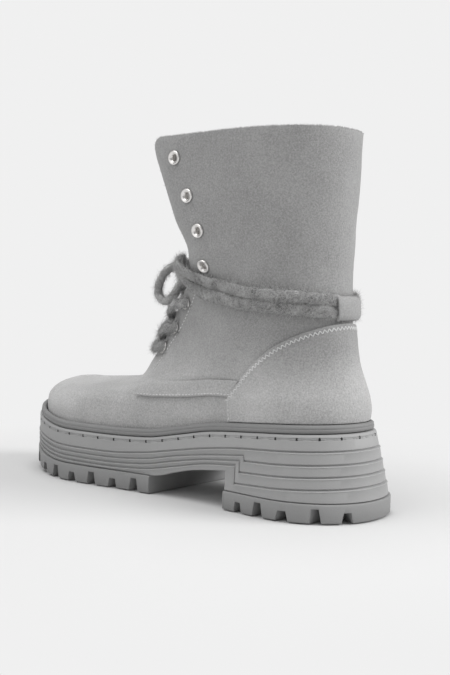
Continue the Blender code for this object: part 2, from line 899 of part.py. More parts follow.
def eyelet_cutters(collection):
    """The drills for all eyelet holes, as one mesh."""
    work = bmesh.new()
    for level, angle, side in eyelet_places():
        bmesh.ops.create_cone(
            work, cap_ends=True, segments=8, radius1=EYELET_BARREL + GAP, radius2=EYELET_BARREL + GAP,
            depth=6 * WALL, matrix=seat(level, side * angle),
        )
    mesh = bpy.data.meshes.new("eyelet_drills")
    work.to_mesh(mesh)
    work.free()
    cutter = bpy.data.objects.new("eyelet_drills", mesh)
    collection.objects.link(cutter)
    cutter.hide_render = True
    cutter.display_type = "WIRE"
    return cutter


def eyelets(collection):
    """Metal eyelets, a flanged barrel in each hole, sharing one turned profile."""
    seat_height = 1.6 * GAP
    outer = (
        (EYELET_RADIUS - 0.3 * MM, EYELET_FLANGE + seat_height),
        (EYELET_RADIUS, seat_height),
        (EYELET_BARREL, seat_height),
        (EYELET_BARREL, -WALL - GAP),
        (EYELET_BORE, -WALL - GAP),
        (EYELET_BORE, EYELET_FLANGE + seat_height),
    )
    mesh = bpy.data.meshes.new("eyelet")
    links = [(i, (i + 1) % len(outer)) for i in range(len(outer))]
    mesh.from_pydata([(r, 0.0, z) for r, z in outer], links, [])
    mesh.materials.append(material("steel", STEEL))
    for index, (level, angle, side) in enumerate(eyelet_places()):
        place = index % len(EYELETS) + 1
        name = f"eyelet_{'lateral' if side > 0 else 'medial'}_{place}"
        obj = bpy.data.objects.new(name, mesh)
        collection.objects.link(obj)
        obj.matrix_world = seat(level, side * angle)
        screw = obj.modifiers.new("Turn", "SCREW")
        screw.steps = 8
        screw.render_steps = 8
        screw.use_merge_vertices = True
        screw.merge_threshold = 0.01 * MM


def counter_seam(along):
    """Height of the counter's top edge above the sole's top edge."""
    return SHAFT_HEIGHT * read(COUNTER_SEAM, along / COUNTER_LENGTH, "rise")


def heel_counter(collection):
    """Panel laid over the back of the upper, up to its curved seam."""
    offset = OVERLAY_GAP + OVERLAY
    columns, steps = 10, 5
    rows = [[] for _ in range(steps + 1)]
    for j in range(-columns, columns + 1):
        share = abs(j) / columns
        side = -1 if j < 0 else 1

        def angle_on(level, share=share):
            return share * angle_at(level, COUNTER_LENGTH)

        def above_seam(level):
            place = last_point(level, angle_on(level))
            along = SOLE_LENGTH / 2 - place.x
            return place.z - sole_top(along) - counter_seam(along)

        def above_welt(level):
            place = last_point(level, angle_on(level))
            return place.z - sole_top(SOLE_LENGTH / 2 - place.x)

        low = search(0.0, 4.0, above_welt, WELT_HEIGHT + 2 * GAP)
        high = search(low, 9.0, above_seam, 0.0)
        for step in range(steps + 1):
            level = low + (high - low) * step / steps
            rows[step].append(skin(level, side * angle_on(level), offset))
    obj = add_mesh("heel_counter", sheet("heel_counter", rows), SUEDE, collection, "suede")
    return thicken(obj, OVERLAY)


def side_band(name, side, collection):
    """Strip along the lower edge of one quarter, from the counter forwards."""
    offset = 1.3 * OVERLAY_GAP + OVERLAY
    start = COUNTER_LENGTH + OVERLAY
    columns, steps = 14, 3
    rows = []
    for step in range(steps + 1):
        row = []
        for j in range(columns + 1):
            slant = BAND_END - 9 * MM * step / steps
            along = start + (slant - start) * j / columns
            share = along / SOLE_LENGTH
            low, high = read(BAND, share, "bottom"), read(BAND, share, "top")
            level = level_at(along, SHAFT_HEIGHT * (low + (high - low) * step / steps), 1.0, 7.5)
            row.append(skin(level, side * angle_at(level, along), offset))
        rows.append(row if side > 0 else row[::-1])
    obj = add_mesh(name, sheet(name, rows), SUEDE, collection, "suede")
    return thicken(obj, OVERLAY)


def tongue(collection):
    """Padded tongue behind the throat, tucked under both flaps and under the vamp."""
    offset = -(WALL + 6 * GAP)
    levels = [5.45 + 0.59 * i for i in range(12)]
    columns = 6
    rows = []
    for level in levels:
        width = max(SHAFT_WIDTH * read(THROAT, level, "gap"), 0.13 * SHAFT_WIDTH) + TONGUE_OVERLAP
        side = search(math.pi / 2, math.pi, lambda a, k=level: last_point(k, a).y, -width)
        row = []
        for j in range(columns + 1):
            angle = side + 2 * (math.pi - side) * j / columns
            row.append(skin(level, angle, offset))
        rows.append(row)
    obj = add_mesh("tongue", sheet("tongue", rows), SUEDE, collection, "suede")
    return thicken(obj, TONGUE_THICKNESS)


def back_keeper(collection):
    """Loop at the back of the ankle, sewn above and below the two strands that run through it."""
    bulge = LACE_DEPTH + OVERLAY_GAP
    profile = ((0.0, 0.0), (0.0, KEEPER_SEAM), (bulge, KEEPER_SEAM + bulge / 3))
    margin = LACE_WIDTH / 2 + profile[-1][1] + OVERLAY + GAP
    low = SHAFT_HEIGHT * WRAP[0].lower - margin
    high = SHAFT_HEIGHT * WRAP[0].upper + margin
    steps = [(low + run, lift) for lift, run in profile]
    steps += [(high - run, lift) for lift, run in profile[::-1]]
    columns = 5
    rows = []
    for rise, lift in steps:
        row = []
        for j in range(-columns, columns + 1):
            level = level_on_angle(0.0, rise)
            angle = turn_at(level, KEEPER_HALF * abs(j) / columns)
            level = level_on_angle(angle, rise)
            row.append(skin(level, angle if j >= 0 else -angle, OVERLAY_GAP + OVERLAY + lift))
        rows.append(row)
    obj = add_mesh("back_keeper", sheet("back_keeper", rows), SUEDE, collection, "suede")
    return thicken(obj, OVERLAY)


def turn_at(level, distance):
    """Angle at a distance round the surface from the middle of the back."""
    start = last_point(level, 0.0)
    return search(0.0, math.pi / 2, lambda a: (last_point(level, a) - start).length, distance)


def tube(name, places, radius, finish, collection, label):
    """Round cord through places, as a mesh with closed ends."""
    data = bpy.data.curves.new(name, "CURVE")
    data.dimensions = "3D"
    data.bevel_depth = radius
    data.bevel_resolution = 2
    data.use_fill_caps = True
    spline = data.splines.new("POLY")
    spline.points.add(len(places) - 1)
    for spot, place in zip(spline.points, places):
        spot.co = (*place, 1.0)
    curve = bpy.data.objects.new(name + "_route", data)
    collection.objects.link(curve)
    bpy.context.view_layer.update()
    graph = bpy.context.evaluated_depsgraph_get()
    mesh = bpy.data.meshes.new_from_object(curve.evaluated_get(graph))
    bpy.data.objects.remove(curve, do_unlink=True)
    bpy.data.curves.remove(data)
    mesh.name = name
    work = bmesh.new()
    work.from_mesh(mesh)
    bmesh.ops.remove_doubles(work, verts=work.verts, dist=0.005 * MM)
    bmesh.ops.recalc_face_normals(work, faces=work.faces)
    work.to_mesh(mesh)
    work.free()
    return add_mesh(name, mesh, finish, collection, label)


def join_all(obj, others):
    """Joins other solids to an object by a union each, kept as helpers."""
    for index, other in enumerate(others):
        union = obj.modifiers.new(f"Join {index + 1}", "BOOLEAN")
        union.operation = "UNION"
        union.object = other
        other.hide_render = True
        other.display_type = "WIRE"


def flat_lace(name, route, width, depth, collection):
    """Flat oval lace along a route of centres, outward directions and ways along it."""
    rings = []
    sides = 6
    for centre, out, along in route:
        across = out.cross(along).normalized()
        ring = []
        for i in range(sides):
            turn = 2 * math.pi * i / sides
            ring.append(centre + across * (width / 2 * math.sin(turn)) + out * (depth / 2 * math.cos(turn)))
        rings.append(ring)
    return add_mesh(name, loft(name, rings), WOOL, collection, "wool")


def surface_route(spots, lifts):
    """Route over the upper's surface, from levels and angles, each at its height above it."""
    centres = [skin(level, angle, lift) for (level, angle), lift in zip(spots, lifts)]
    route = []
    for i, (level, angle) in enumerate(spots):
        before, after = centres[max(0, i - 1)], centres[min(len(centres) - 1, i + 1)]
        route.append((centres[i], normal(level, angle), (after - before).normalized()))
    return route


def crossing(low, high, lift):
    """Route of a strand from a lateral eyelet over the throat to a medial one."""
    first, second = EYELETS[low], EYELETS[high]
    start = inset_angle(first.level, first.inset)
    end = 2 * math.pi - inset_angle(second.level, second.inset)
    steps = 6
    spots = []
    for i in range(steps + 1):
        share = i / steps
        spots.append((first.level + (second.level - first.level) * share, start + (end - start) * share))
    return surface_route(spots, [lift] * len(spots))


def lace_crossings(collection, cutters):
    """Lower lacing: a straight bar at the bottom pair of eyelets and crosses up to the third pair."""
    lift = EYELET_FLANGE + 3.5 * GAP + LACE_DEPTH / 2
    bar = flat_lace("lace_crossings", crossing(0, 0, lift), LACE_WIDTH, LACE_DEPTH, collection)
    crosses = []
    for low in range(LACED - 1):
        crosses.append(crossing(low, low + 1, lift + GAP))
        crosses.append(crossing(low + 1, low, lift + 2.5 * GAP))
    others = [
        flat_lace(f"lace_cross_{i + 1}", route, LACE_WIDTH * 0.97, LACE_DEPTH * 0.98, cutters)
        for i, route in enumerate(crosses)
    ]
    join_all(bar, others)
    return bar


def wrap_route(column):
    """Route of one strand from the knot round the back of the ankle and to the knot again."""
    steps = 12
    last = WRAP[-1].turn
    spots, lifts = [], []
    for i in range(-steps, steps + 1):
        turn = last * i / steps
        angle = turn * math.pi
        spots.append((level_on_angle(angle, SHAFT_HEIGHT * read(WRAP, abs(turn), column)), angle))
        lifts.append(LACE_DEPTH / 2 + OVERLAY_GAP + LACE_WIDTH * read(WRAP, abs(turn), "lift"))
    return surface_route(spots, lifts)


def lace_wrap(collection, cutters):
    """Both strands of the lace round the ankle, joined where they meet in front."""
    upper_strand = flat_lace("lace_wrap", wrap_route("upper"), LACE_WIDTH, LACE_DEPTH, collection)
    lower = flat_lace("lace_wrap_lower", wrap_route("lower"), LACE_WIDTH * 0.97, LACE_DEPTH * 0.98, cutters)
    join_all(upper_strand, [lower])
    return upper_strand


def through(spots, spacing):
    """Places at even distances on a smooth curve through a route's own points."""
    knots = [point(spot.along * MM, spot.across * MM, spot.height * MM) for spot in spots]
    knots = [2 * knots[0] - knots[1]] + knots + [2 * knots[-1] - knots[-2]]
    fine = []
    for i in range(1, len(knots) - 2):
        before, start, end, after = knots[i - 1 : i + 3]
        for step in range(12):
            t = step / 12
            fine.append(
                0.5 * (2 * start + (end - before) * t + (2 * before - 5 * start + 4 * end - after) * t**2
                       + (3 * start - before - 3 * end + after) * t**3)
            )
    fine.append(knots[-2])
    total = sum((b - a).length for a, b in zip(fine, fine[1:]))
    count = max(4, round(total / spacing))
    places, walked, wanted = [fine[0]], 0.0, total / count
    for a, b in zip(fine, fine[1:]):
        length = (b - a).length
        while len(places) < count and walked + length >= wanted * len(places):
            places.append(a + (b - a) * ((wanted * len(places) - walked) / length))
        walked += length
    places.append(fine[-1])
    return places


def bow(collection):
    """The knot in front of the ankle with its two loops and its two ends."""
    bpy.ops.mesh.primitive_uv_sphere_add(segments=12, ring_count=8, radius=MM)
    knot = bpy.context.object
    knot.name = "lace_knot"
    for owner in list(knot.users_collection):
        owner.objects.unlink(knot)
    collection.objects.link(knot)
    knot.location = point(KNOT.along * MM, KNOT.across * MM, KNOT.height * MM)
    knot.scale = KNOT_SIZE
    knot.data.materials.append(material("wool", WOOL))
    knot.data.shade_smooth()
    routes = {
        "lace_loop_lateral": LOOP_LATERAL,
        "lace_loop_medial": LOOP_MEDIAL,
        "lace_end_front": END_FRONT,
        "lace_end_back": END_BACK,
    }
    for name, spots in routes.items():
        tube(name, through(spots, 2 * BOW_RADIUS), BOW_RADIUS, WOOL, collection, "wool")


def build():
    """Makes every piece of the boot."""
    clear_scene()
    boot = bpy.data.collections.new("lace_up_boot")
    cutters = bpy.data.collections.new("cutters")
    bpy.context.scene.collection.children.link(boot)
    bpy.context.scene.collection.children.link(cutters)
    midsole(boot)
    outsole_heel(boot, cutters)
    outsole_forefoot(boot, cutters)
    welt(boot)
    insole(boot)
    upper(boot, cutters)
    heel_counter(boot)
    side_band("side_band_lateral", 1, boot)
    side_band("side_band_medial", -1, boot)
    tongue(boot)
    back_keeper(boot)
    eyelets(boot)
    lace_crossings(boot, cutters)
    lace_wrap(boot, cutters)
    bow(boot)


build()
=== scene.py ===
"""Looks of a left lace-up ankle boot in grey suede, on a chunky lugged sole.

The CAD model gives the boot's frame: the toe points to -X, the outer (lateral) side to -Y and up is +Z, in
metres. Each class here models one sub-assembly over its CAD solids, dresses it and hangs it on the frame.
A place on the boot is given along it from the back of the heel, across it to the lateral side and by height.
On the upper it is a level, from 0 at the sole to 13 at the collar, and an angle from 0 at the back to pi in
front, negative on the medial side.
"""

from __future__ import annotations

import logging
import math
import random
from bisect import bisect_right
from dataclasses import dataclass, field, replace
from enum import Enum
from functools import partial
from typing import Callable, NamedTuple, Sequence

import bpy
from mathutils import Matrix, Vector, noise

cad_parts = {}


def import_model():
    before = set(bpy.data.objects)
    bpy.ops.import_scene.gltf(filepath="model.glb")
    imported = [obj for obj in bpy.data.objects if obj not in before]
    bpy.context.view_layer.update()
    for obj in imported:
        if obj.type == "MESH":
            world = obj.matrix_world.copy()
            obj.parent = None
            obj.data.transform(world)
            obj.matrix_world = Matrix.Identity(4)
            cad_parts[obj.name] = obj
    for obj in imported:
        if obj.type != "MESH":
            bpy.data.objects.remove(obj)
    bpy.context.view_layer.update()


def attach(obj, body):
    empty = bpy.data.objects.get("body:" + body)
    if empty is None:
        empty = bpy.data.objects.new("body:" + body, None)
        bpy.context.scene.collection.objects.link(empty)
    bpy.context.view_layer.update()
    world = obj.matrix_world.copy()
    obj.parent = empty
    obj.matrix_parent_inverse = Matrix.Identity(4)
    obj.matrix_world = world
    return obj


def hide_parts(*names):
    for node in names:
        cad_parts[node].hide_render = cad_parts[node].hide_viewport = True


MM = 0.001
UP = Vector((0.0, 0.0, 1.0))
HALVINGS = 20
STATION_GAP = 0.004
MERGE_LENGTH = 0.01 * MM
TINY_LENGTH = 0.005 * MM
PANEL_ANGLE = 60
WHOLLY_SMOOTH = 180
log = logging.getLogger("lace_up_boot")
Piece = bpy.types.Object
Rows = Sequence[Sequence[Vector]]


@dataclass(frozen=True)
class SoleSizes:
    """Driving sizes of the sole, in metres."""

    length: float = 286 * MM
    forefoot_width: float = 100 * MM
    heel_stack: float = 48.5 * MM
    tread_depth: float = 11.3 * MM
    toe_spring: float = 9 * MM
    heel_flare: float = 8.5 * MM
    side_flare: float = 4.8 * MM
    heel_breast: float = 79 * MM
    forefoot_start: float = 141 * MM
    tread_proud: float = 1.1 * MM
    gap: float = 0.3 * MM
    heel_end: float = 0.16
    toe_end: float = 0.27


@dataclass(frozen=True)
class UpperSizes:
    """Driving sizes of the upper and of what is sewn to it, in metres."""

    shaft_height: float = 175 * MM
    shaft_width: float = 90 * MM
    wall: float = 2.2 * MM
    overlay: float = 1.3 * MM
    overlay_gap: float = 0.7 * MM
    flap_corner: float = 13 * MM
    counter_length: float = 85 * MM
    band_end: float = 161 * MM
    tongue_thickness: float = 3 * MM
    tongue_overlap: float = 7.5 * MM
    keeper_half: float = 9.5 * MM
    welt_height: float = 5.3 * MM
    welt_width: float = 3.9 * MM
    welt_setback: float = 1.0 * MM
    taper_start: float = 0.35


@dataclass(frozen=True)
class LaceSizes:
    """Width and depth of the flat wool lace, and how the eyelets take it, in metres."""

    width: float = 5.8 * MM
    depth: float = 3.0 * MM
    shown_width: float = 6.8 * MM
    shown_depth: float = 3.3 * MM
    flange: float = 0.7 * MM
    laced: int = 3


SOLE = SoleSizes()
UPPER = UpperSizes()
LACE = LaceSizes()
ROUNDNESS = 2.15


class Side(Enum):
    """The two sides of the boot, as the sign of an angle round the upper."""

    LATERAL = 1
    MEDIAL = -1

    @property
    def label(self) -> str:
        """The side's name as the CAD nodes write it."""
        return self.name.lower()


def table(kind: type, *rows: tuple) -> tuple:
    """Rows of one kind, made from their values."""
    return tuple(kind(*row) for row in rows)


class Outline(NamedTuple):
    """Plan of the sole: place along it, half width and middle, in shares of its length and width."""

    along: float
    half: float
    middle: float


OUTLINE = table(
    Outline,
    (0.00, 0.425, 0.000), (0.15, 0.428, 0.018), (0.30, 0.396, 0.030), (0.42, 0.378, 0.034),
    (0.55, 0.415, 0.022), (0.68, 0.475, 0.010), (0.76, 0.498, -0.004), (0.88, 0.480, -0.035),
    (1.00, 0.440, -0.070),
)


class Profile(NamedTuple):
    """Side view of the sole: heights as shares of the heel stack, at a share of its length."""

    along: float
    top: float
    plain: float
    upper: float
    middle: float
    lower: float


HEEL_LINES = table(
    Profile,
    (0.00, 1.025, 0.825, 0.672, 0.534, 0.394),
    (0.16, 0.985, 0.788, 0.634, 0.496, 0.356),
    (0.30, 0.925, 0.750, 0.600, 0.462, 0.322),
)
FORE_LINES = table(
    Profile,
    (0.00, 1.025, 0.825, 0.765, 0.690, 0.640), (0.16, 0.985, 0.788, 0.735, 0.665, 0.610),
    (0.24, 0.950, 0.757, 0.676, 0.612, 0.556), (0.34, 0.897, 0.688, 0.610, 0.552, 0.499),
    (0.43, 0.800, 0.600, 0.530, 0.463, 0.396), (0.52, 0.715, 0.515, 0.436, 0.368, 0.307),
    (0.62, 0.697, 0.470, 0.402, 0.338, 0.282), (0.75, 0.700, 0.473, 0.406, 0.342, 0.288),
    (0.87, 0.757, 0.528, 0.462, 0.398, 0.344), (1.00, 0.870, 0.645, 0.580, 0.515, 0.462),
)
CORNERS = {"upper": 0.229, "middle": 0.2395, "lower": 0.250}


class Arch(NamedTuple):
    """Underside between heel and forefoot tread: height as a share of the heel stack."""

    along: float
    height: float


ARCH = table(Arch, (0.27, 0.470), (0.37, 0.398), (0.43, 0.318), (0.475, 0.245), (0.50, 0.235))


class Section(NamedTuple):
    """One closed section of the last, from its back point to its front point.

    back and front are shares of the sole length, the rises above the sole's top edge are shares of the
    shaft height, width and dip are shares of the shaft width and tuck is a share of the forefoot width.
    taper is how much narrower the section gets towards its front.
    foot says how much of the foot's plan the section keeps, and hug how closely it follows the sole.
    """

    back: float
    back_rise: float
    front: float
    front_rise: float
    foot: float
    tuck: float
    width: float
    taper: float
    dip: float
    hug: float
    heel_end: float
    toe_end: float


SECTIONS = table(
    Section,
    (0.0493, 0.0035, 0.9785, 0.0035, 1.00, 0.056, 0.440, 0.00, 0.000, 1.00, 0.16, 0.27),
    (0.0465, 0.034, 0.9810, 0.034, 1.00, 0.053, 0.440, 0.00, 0.000, 1.00, 0.16, 0.27),
    (0.0440, 0.068, 0.9770, 0.071, 1.00, 0.047, 0.440, 0.00, 0.000, 0.92, 0.17, 0.28),
    (0.0470, 0.109, 0.9560, 0.112, 0.94, 0.052, 0.430, 0.00, 0.014, 0.72, 0.19, 0.31),
    (0.0570, 0.171, 0.9020, 0.155, 0.80, 0.075, 0.420, 0.02, 0.052, 0.45, 0.23, 0.36),
    (0.0710, 0.240, 0.7970, 0.186, 0.60, 0.095, 0.412, 0.12, 0.078, 0.20, 0.28, 0.38),
    (0.0820, 0.320, 0.6640, 0.209, 0.38, 0.110, 0.408, 0.36, 0.066, 0.00, 0.33, 0.30),
    (0.0880, 0.383, 0.6120, 0.283, 0.20, 0.110, 0.405, 0.52, 0.033, 0.00, 0.38, 0.20),
    (0.0905, 0.457, 0.5610, 0.381, 0.08, 0.110, 0.408, 0.58, 0.000, 0.00, 0.42, 0.16),
    (0.0915, 0.548, 0.5230, 0.493, 0.00, 0.110, 0.412, 0.52, 0.000, 0.00, 0.45, 0.18),
    (0.0915, 0.651, 0.4720, 0.640, 0.00, 0.110, 0.408, 0.02, 0.000, 0.00, 0.47, 0.24),
    (0.0880, 0.754, 0.5000, 0.789, 0.00, 0.110, 0.430, -0.06, 0.000, 0.00, 0.48, 0.21),
    (0.0840, 0.863, 0.5330, 0.943, 0.00, 0.110, 0.458, -0.06, 0.000, 0.00, 0.49, 0.20),
    (0.0815, 1.000, 0.5630, 1.075, 0.00, 0.110, 0.485, -0.05, 0.000, 0.00, 0.50, 0.20),
)
TOP_LEVEL = len(SECTIONS) - 1
THROAT_LEVEL = 6


class Throat(NamedTuple):
    """Half of the gap between the two front edges, as a share of the shaft width, at a level."""

    level: float
    gap: float


THROAT = table(
    Throat,
    (6.0, 0.000), (6.15, 0.070), (6.5, 0.105), (7.0, 0.122), (8.0, 0.122), (9.0, 0.160),
    (9.5, 0.330), (10.0, 0.372), (11.0, 0.410), (12.0, 0.439), (13.0, 0.466),
)


class Eyelet(NamedTuple):
    """A hole beside the throat: its level and its distance from the front edge."""

    level: float
    inset: float


EYELETS = table(
    Eyelet,
    (7.36, 13.5 * MM), (8.00, 15.5 * MM), (8.82, 17.0 * MM), (9.66, 12.5 * MM),
    (10.55, 16.6 * MM), (11.45, 18.8 * MM), (12.42, 18.0 * MM),
)


class Seam(NamedTuple):
    """Top edge of the heel counter: height above the sole's top edge, at a share of the counter's length."""

    along: float
    rise: float


COUNTER_SEAM = table(
    Seam,
    (0.00, 0.388), (0.22, 0.368), (0.44, 0.330), (0.64, 0.281), (0.80, 0.226), (0.91, 0.172), (1.00, 0.118),
)


class Band(NamedTuple):
    """Strip along the quarter's lower edge: its two edges above the sole's top edge, at a place."""

    along: float
    bottom: float
    top: float


BAND = table(
    Band,
    (0.26, 0.113, 0.171), (0.30, 0.118, 0.176), (0.40, 0.129, 0.187), (0.45, 0.136, 0.193),
    (0.49, 0.144, 0.199), (0.54, 0.148, 0.204), (0.60, 0.152, 0.208),
)


class Strand(NamedTuple):
    """A lace strand round the ankle, at a share of the half turn.

    upper and lower are both strands' heights above the sole's top edge, as shares of the shaft height, and
    lift is how far they stand off the upper, as a share of the lace's width.
    """

    turn: float
    upper: float
    lower: float
    lift: float


WRAP = table(
    Strand,
    (0.00, 0.428, 0.389, 0.00), (0.20, 0.445, 0.405, 0.02), (0.30, 0.456, 0.417, 0.04),
    (0.40, 0.473, 0.434, 0.06), (0.50, 0.498, 0.458, 0.08), (0.59, 0.524, 0.485, 0.10),
    (0.68, 0.560, 0.526, 0.16), (0.80, 0.600, 0.586, 0.50), (0.90, 0.622, 0.611, 1.15),
    (0.96, 0.632, 0.624, 1.50),
)


class Spot(NamedTuple):
    """A point of a cord's route in millimetres: along the boot, across it to the lateral side, height."""

    along: float
    across: float
    height: float


KNOT = Spot(147.5, 0.0, 145.0)
KNOT_SIZE = Spot(4.6, 8.0, 5.2)
LOOP_LATERAL = table(
    Spot,
    (150.2, 7.5, 144.8), (152.6, 12.4, 144.0), (156.4, 15.6, 140.2), (159.4, 17.6, 133.6),
    (159.8, 18.4, 127.2), (156.6, 18.8, 122.6), (151.6, 18.4, 121.8), (147.2, 17.4, 125.0),
    (144.6, 15.0, 131.0), (144.2, 11.4, 135.6), (146.2, 6.0, 138.8),
)
LOOP_MEDIAL = table(
    Spot,
    (150.2, -7.5, 144.8), (152.6, -12.6, 142.8), (154.2, -17.2, 137.8), (154.4, -20.8, 132.0),
    (152.8, -23.4, 126.8), (149.6, -24.6, 124.2), (146.0, -24.4, 124.8), (143.4, -22.2, 128.0),
    (142.8, -18.0, 132.0), (143.8, -13.0, 135.4), (146.2, -6.6, 138.6),
)
END_FRONT = table(
    Spot,
    (149.8, 2.6, 138.8), (153.4, -0.4, 133.8), (157.2, -4.6, 127.0), (160.4, -8.6, 119.4),
    (163.0, -12.4, 111.0), (165.0, -16.0, 102.4), (166.8, -18.6, 94.0),
)
END_BACK = table(
    Spot,
    (147.6, -1.8, 138.0), (149.6, -6.8, 133.4), (153.6, -11.8, 127.4), (156.8, -16.2, 120.0),
    (158.8, -19.8, 112.0), (160.0, -22.6, 104.0),
)


class Notch(NamedTuple):
    """Gap between two tread lugs: its middle, its width and its height, in millimetres."""

    place: float
    width: float
    height: float


HEEL_NOTCHES = table(Notch, (66.8, 4.6, 6.2), (51.5, 5.4, 8.6), (35.0, 5.8, 6.2), (17.4, 4.2, 8.6))
HEEL_CORNER = Notch(5.6, 5.4, 6.4)
FORE_NOTCHES = table(
    Notch,
    (153.5, 5.2, 8.4), (171.0, 5.2, 6.2), (188.5, 5.2, 8.4), (206.0, 5.4, 6.2),
    (223.5, 5.6, 8.4), (241.0, 5.6, 6.2), (258.0, 5.6, 8.4),
)


class Step(NamedTuple):
    """One ring of a rib or an edge of the sole: rise above its line and inset, in millimetres."""

    rise: float
    inset: float


RIB = table(
    Step,
    (-1.15, -0.30), (-0.75, -0.60), (-0.42, -0.48), (-0.18, 0.72), (0.12, 1.00), (0.60, 0.40), (1.05, 0.0),
)
TOP_EDGE = table(
    Step,
    (-3.3, 0.0), (-3.0, 0.28), (-2.0, 0.28), (-1.7, -0.05), (-0.9, 0.0), (-0.3, 0.35), (0.0, 1.1),
)


class Curve:
    """Smooth curve through one column of a table, which never swings past the table's own values."""

    known: dict[tuple[int, str], "Curve"] = {}

    def __init__(self, places: Sequence[float], values: Sequence[float]) -> None:
        """Works out the tangents.

        Args:
            places: Rising places of the values.
            values: The column's values.
        """
        self.places = list(places)
        self.values = list(values)
        steps = range(len(self.places) - 1)
        slopes = [(values[i + 1] - values[i]) / (places[i + 1] - places[i]) for i in steps]
        inner = [0.0 if a * b <= 0 else 2 * a * b / (a + b) for a, b in zip(slopes, slopes[1:])]
        self.tangents = [slopes[0], *inner, slopes[-1]]

    @classmethod
    def of(cls, rows: Sequence[NamedTuple], column: str) -> "Curve":
        """Curve of a table's column, made once.

        Args:
            rows: The table. Its first column is the place, unless its rows are the upper's sections.
            column: Name of the column.

        Returns:
            The curve.
        """
        key = (id(rows), column)
        if key not in cls.known:
            by_index = rows is SECTIONS
            places = range(len(rows)) if by_index else [row[0] for row in rows]
            cls.known[key] = cls([float(p) for p in places], [getattr(row, column) for row in rows])
        return cls.known[key]

    def at(self, place: float) -> float:
        """Value at a place.

        Args:
            place: Where to read the curve.

        Returns:
            The value, held at both ends.
        """
        if place <= self.places[0]:
            return self.values[0]
        if place >= self.places[-1]:
            return self.values[-1]
        i = bisect_right(self.places, place) - 1
        span = self.places[i + 1] - self.places[i]
        share = (place - self.places[i]) / span
        rest = 1 - share
        start = self.values[i] * (1 + 2 * share) + self.tangents[i] * span * share
        end = self.values[i + 1] * (3 - 2 * share) - self.tangents[i + 1] * span * rest
        return start * rest * rest + end * share * share


def search(low: float, high: float, value_at: Callable[[float], float], wanted: float) -> float:
    """Where a rising value reaches the wanted one, by halving.

    Args:
        low: Lower end of the range.
        high: Upper end of the range.
        value_at: The rising value.
        wanted: The value to reach.

    Returns:
        The place within the range.
    """
    for _ in range(HALVINGS):
        middle = (low + high) / 2
        if value_at(middle) < wanted:
            low = middle
        else:
            high = middle
    return (low + high) / 2


def ease(share: float) -> float:
    """Smooth step from 0 to 1 for a share that is cut to 0 and 1."""
    share = min(1.0, max(0.0, share))
    return share * share * (3 - 2 * share)


def rounded(share: float, heel_end: float, toe_end: float) -> float:
    """Half width of a plan with round ends, as a share of its full half width.

    Args:
        share: Place along the plan.
        heel_end: Length of the round back end, as a share.
        toe_end: Length of the round front end, as a share.

    Returns:
        The share of the half width.
    """
    width = 1 - max(0.0, 1 - share / heel_end) ** ROUNDNESS
    width *= 1 - max(0.0, 1 - (1 - share) / toe_end) ** ROUNDNESS
    return max(0.0, width) ** (1 / ROUNDNESS)


